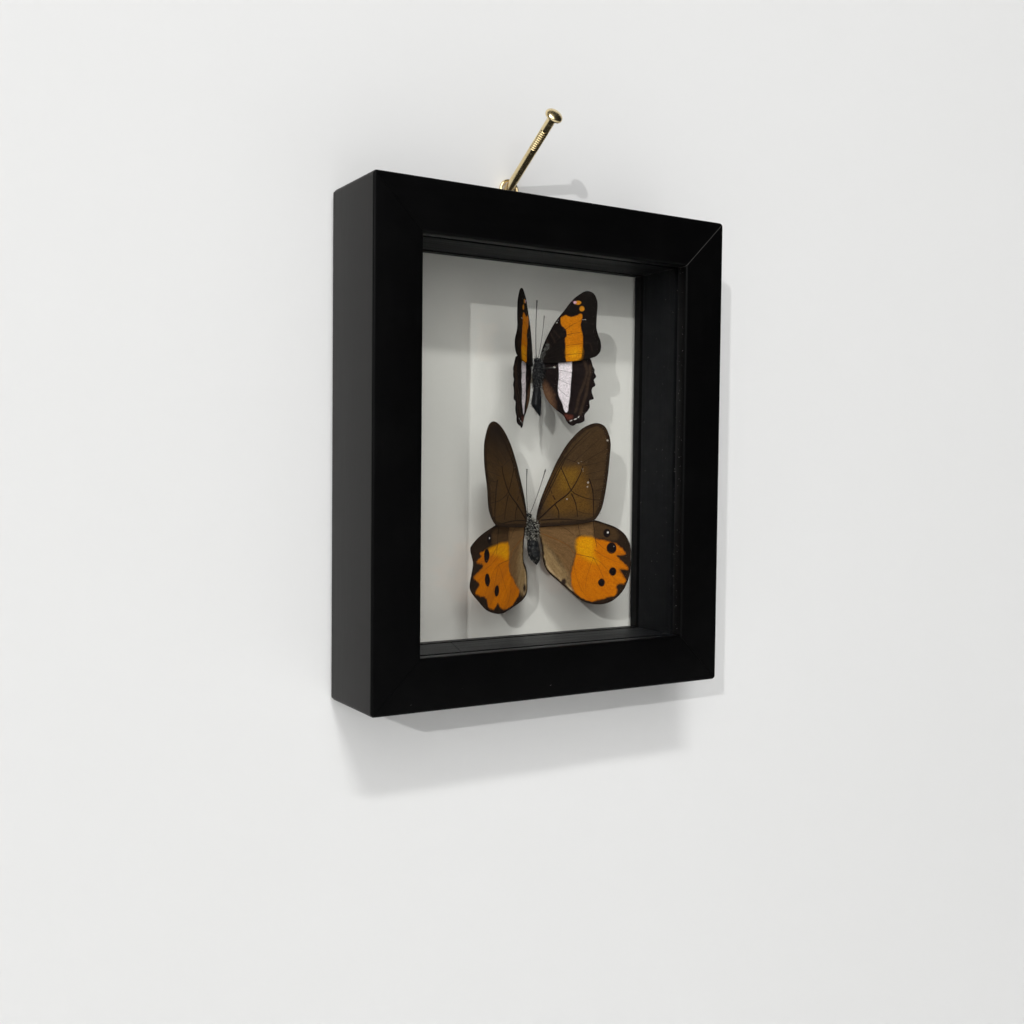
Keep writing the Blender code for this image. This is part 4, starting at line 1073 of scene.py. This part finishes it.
def add_antenna(creature, body, side, splay, forward, length, finish):
    word = "right" if side > 0 else "left"
    name = creature + "_feeler_" + word
    across, height, head = body["head"]
    middle = body_place(body) @ Vector((across * MM, 0, height * MM))
    heading = Vector((side * splay, -forward, 1.0)).normalized()
    start = middle + Vector((side * 0.35 * MM, 0.0, 0.0)) + heading * (head + 0.1) * MM
    line, factors = [], []
    for i in range(FEELER_POINTS):
        t = i / (FEELER_POINTS - 1)
        bow = Vector((side, 0.0, 0.0)) * 0.25 * MM * math.sin(math.pi * t)
        line.append(start + heading * t * (length + 0.4) * MM + bow)
        factors.append(1.0 + 5.0 * max(0.0, t - CLUB_FROM))
    holder = curve_source(name, [line], [factors])
    mesh = run_tree(holder, VEIN_TREE, name, vein_radius=ANTENNA_RADIUS, finish=finish)
    settle(add_piece(name, mesh), [creature + "_antenna_" + word])


add_antenna("upper", UPPER_BODY, -1, 0.122, 0.20, 17.3, PLAIN)
add_antenna("upper", UPPER_BODY, 1, 0.027, 0.20, 12.7, FADED)
add_antenna("lower", LOWER_BODY, -1, 0.268, 0.38, 14.9, BANDED)
add_antenna("lower", LOWER_BODY, 1, 0.152, 0.38, 14.5, BANDED)

# ---------------------------------------------------------------------------
# Dust
# Pale specks of dust and lint that have settled in the right-hand reveal, on the
# right-hand liner and on the front of the bottom rail.
# ---------------------------------------------------------------------------
def dust_tree():
    """Geometry nodes: small uneven specks scattered on a surface."""
    tree, source = open_tree("dust_specks", ["Density", "Speck Radius"], Seed="Int")
    spots = add_node(tree, "GeometryNodeDistributePointsOnFaces", Mesh=source.outputs["Geometry"],
                     Density=source.outputs["Density"], Seed=source.outputs["Seed"])
    speck = add_node(tree, "GeometryNodeMeshIcoSphere", Radius=source.outputs["Speck Radius"],
                     Subdivisions=1)
    size = add_node(tree, "FunctionNodeRandomValue", {"data_type": "FLOAT_VECTOR"},
                    _0=(0.3, 0.3, 0.3), _1=(1.5, 1.5, 1.5), Seed=source.outputs["Seed"])
    laid = add_node(tree, "GeometryNodeInstanceOnPoints", Points=spots.outputs["Points"],
                    Instance=speck.outputs["Mesh"], Rotation=spots.outputs["Rotation"], Scale=size.outputs[0])
    return close_tree(tree, source, laid.outputs[0])


def dust_finish():
    material, tree, shader = new_finish("pale_dust", Roughness=0.9, Specular_IOR_Level=0.1)
    cloud = object_pattern(tree, (1, 1, 1), 500.0)
    paint(tree, shader, cloud, (0.10, 0.10, 0.10, 1), (0.42, 0.41, 0.39, 1))
    return material


DUST_TREE, DUST = dust_tree(), dust_finish()
SPECK = 0.09 * MM


def scatter_dust(name, low, high, density, seed):
    """Specks scattered over one flat upright patch of the frame, between two opposite corners."""
    patch = bpy.data.meshes.new(name)
    corners = [low, (high[0], high[1], low[2]), high, (low[0], low[1], high[2])]
    patch.from_pydata(corners, [], [(0, 1, 2, 3)])
    specks = run_tree(add_piece("dust_patch", patch), DUST_TREE, name, density=density, speck_radius=SPECK,
                      seed=seed, finish=DUST)
    settle(add_piece(name, specks), ())


REVEAL_X = RAIL_HIGH[0] - FACE_WIDTH
LEDGE_Z = BOTTOM_Z + FACE_WIDTH
GLASS_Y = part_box("front_glass")[0][1]
CHAMBER_LOW, CHAMBER_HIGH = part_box("liner_right")
FACE_MARGIN, DUST_PROUD = 2.0 * MM, 0.05 * MM
scatter_dust("dust_reveal", (REVEAL_X, FRONT_Y + 1.0 * MM, LEDGE_Z), (REVEAL_X, GLASS_Y, TOP_Z - FACE_WIDTH),
             0.16e6, 3)
scatter_dust("dust_liner", tuple(CHAMBER_LOW), (CHAMBER_LOW[0], CHAMBER_HIGH[1], CHAMBER_HIGH[2]),
             0.018e6, 5)
scatter_dust("dust_rail", (RAIL_LOW[0] + FACE_MARGIN, FRONT_Y + DUST_PROUD, BOTTOM_Z + FACE_MARGIN),
             (RAIL_HIGH[0] - FACE_MARGIN, FRONT_Y + DUST_PROUD, LEDGE_Z - 1.0 * MM), 0.004e6, 8)

# ---------------------------------------------------------------------------
# Insect pin and glue pads
# One fine steel pin with a round head still stands in the upper thorax, and a
# drop of clear glue behind each thorax holds it to the rear pane.
# ---------------------------------------------------------------------------
def pin_finish():
    material, tree, shader = new_finish("pin_steel", Metallic=1.0)
    scuff = object_pattern(tree, (1, 0.2, 1), 1500.0)
    paint(tree, shader, scuff, (0.5, 0.5, 0.5, 1), (0.8, 0.8, 0.78, 1))
    roughen(tree, shader, scuff, 0.3, 0.7, 0.2, 0.35)
    return material


def glue_finish():
    material, tree, shader = new_finish("clear_glue", Transmission_Weight=0.6, IOR=1.45)
    cloud = object_pattern(tree, (1, 1, 1), 600.0)
    paint(tree, shader, cloud, (0.8, 0.76, 0.62, 1), (0.7, 0.62, 0.42, 1))
    roughen(tree, shader, cloud, 0.3, 0.7, 0.15, 0.4)
    return material


refinish("upper_pin", pin_finish())
GLUE = glue_finish()
for node in ("upper_glue_pad", "lower_glue_pad"):
    refinish(node, GLUE)

# ---------------------------------------------------------------------------
# Wall, floor, lamps and camera
# The frame hangs on a pale wall above a pale floor. Two lamps cast its two
# shadows, and a wide soft one fills them.
# ---------------------------------------------------------------------------
WALL_COLOUR, WALL_SHADE = (0.80, 0.80, 0.795, 1), (0.78, 0.78, 0.77, 1)


def plaster(name, see_through):
    material, tree, shader = new_finish(name, Roughness=0.9, Specular_IOR_Level=0.2)
    cloud = object_pattern(tree, (1, 1, 1), 4.0)
    paint(tree, shader, cloud, WALL_COLOUR, WALL_SHADE)
    add_bump(tree, shader, object_pattern(tree, (1, 1, 1), 700.0), 0.05 * MM, 0.3)
    if see_through:
        behind = add_node(tree, "ShaderNodeNewGeometry").outputs["Backfacing"]
        clear = add_node(tree, "ShaderNodeBsdfTransparent")
        both = add_node(tree, "ShaderNodeMixShader", Fac=behind)
        tree.links.new(shader.outputs[0], both.inputs[1])
        tree.links.new(clear.outputs[0], both.inputs[2])
        tree.links.new(both.outputs[0], tree.nodes["Material Output"].inputs["Surface"])
    return material


def sheet_of(name, corners, material):
    mesh = bpy.data.meshes.new(name)
    mesh.from_pydata(corners, [], [(0, 1, 2, 3)])
    item = add_piece(name, mesh, [material])
    return item


WALL_HALF, WALL_TOP, FLOOR_Z, FLOOR_REACH = 1.6, 1.4, -0.62, 2.4
wall = sheet_of("pale_wall", [(-WALL_HALF, 0, FLOOR_Z), (WALL_HALF, 0, FLOOR_Z), (WALL_HALF, 0, WALL_TOP),
                              (-WALL_HALF, 0, WALL_TOP)], plaster("wall_paint", True))
wall.visible_shadow = False
sheet_of("pale_floor", [(x * FLOOR_REACH, y * FLOOR_REACH, FLOOR_Z)
                        for x, y in ((-1, -1), (1, -1), (1, 1), (-1, 1))], plaster("floor_paint", False))


def add_lamp(name, kind, place, energy, **settings):
    """A white lamp aimed at the middle of the frame."""
    lamp = bpy.data.lights.new(name, kind)
    lamp.energy = energy
    for key, value in settings.items():
        setattr(lamp, key, value)
    item = bpy.data.objects.new(name, lamp)
    bpy.context.scene.collection.objects.link(item)
    item.location = place
    item.rotation_euler = (CENTER - Vector(place)).to_track_quat("-Z", "Y").to_euler()


CENTER = Vector((CENTER_X, -0.02, MID_Z))
SHARP_TRAVEL = Vector((1.04, 1.0, -0.46))
HIGH_TRAVEL = Vector((0.37, 1.0, -1.02))
HIGH_DISTANCE = 2.6
add_lamp("sharp_lamp", "SUN", CENTER - SHARP_TRAVEL, 0.90, angle=math.radians(0.8))
add_lamp("high_lamp", "AREA", CENTER - HIGH_TRAVEL.normalized() * HIGH_DISTANCE, 23.5,
         shape="RECTANGLE", size=0.55, size_y=0.10)
add_lamp("soft_fill", "AREA", (-0.75, -1.9, 0.80), 24.0, shape="SQUARE", size=1.8)
add_lamp("rear_fill", "AREA", (0.9, 1.6, 0.9), 9.0, shape="SQUARE", size=1.4)

world = bpy.data.worlds.new("room")
world.use_nodes = True
sky = world.node_tree.nodes["Background"].inputs
sky["Color"].default_value = (0.95, 0.96, 1.0, 1)
sky["Strength"].default_value = 0.015
bpy.context.scene.world = world

CAMERA_AT = Vector((CENTER_X - 0.1909, FRONT_Y - 0.2856, BOTTOM_Z + 0.0699))
LENS = 40.01
CAMERA_TURN, CAMERA_PITCH, CAMERA_ROLL = (math.radians(a) for a in (-31.263, 90 - 2.298, 0.585))
camera_data = bpy.data.cameras.new("camera")
camera_data.lens, camera_data.sensor_width, camera_data.clip_start = LENS, 36.0, 0.01
camera = bpy.data.objects.new("camera", camera_data)
bpy.context.scene.collection.objects.link(camera)
look = (Matrix.Rotation(CAMERA_TURN, 4, "Z") @ Matrix.Rotation(CAMERA_PITCH, 4, "X")
        @ Matrix.Rotation(CAMERA_ROLL, 4, "Z"))
camera.matrix_world = Matrix.Translation(CAMERA_AT) @ look
bpy.context.scene.camera = camera
bpy.context.scene.view_settings.view_transform = "Standard"
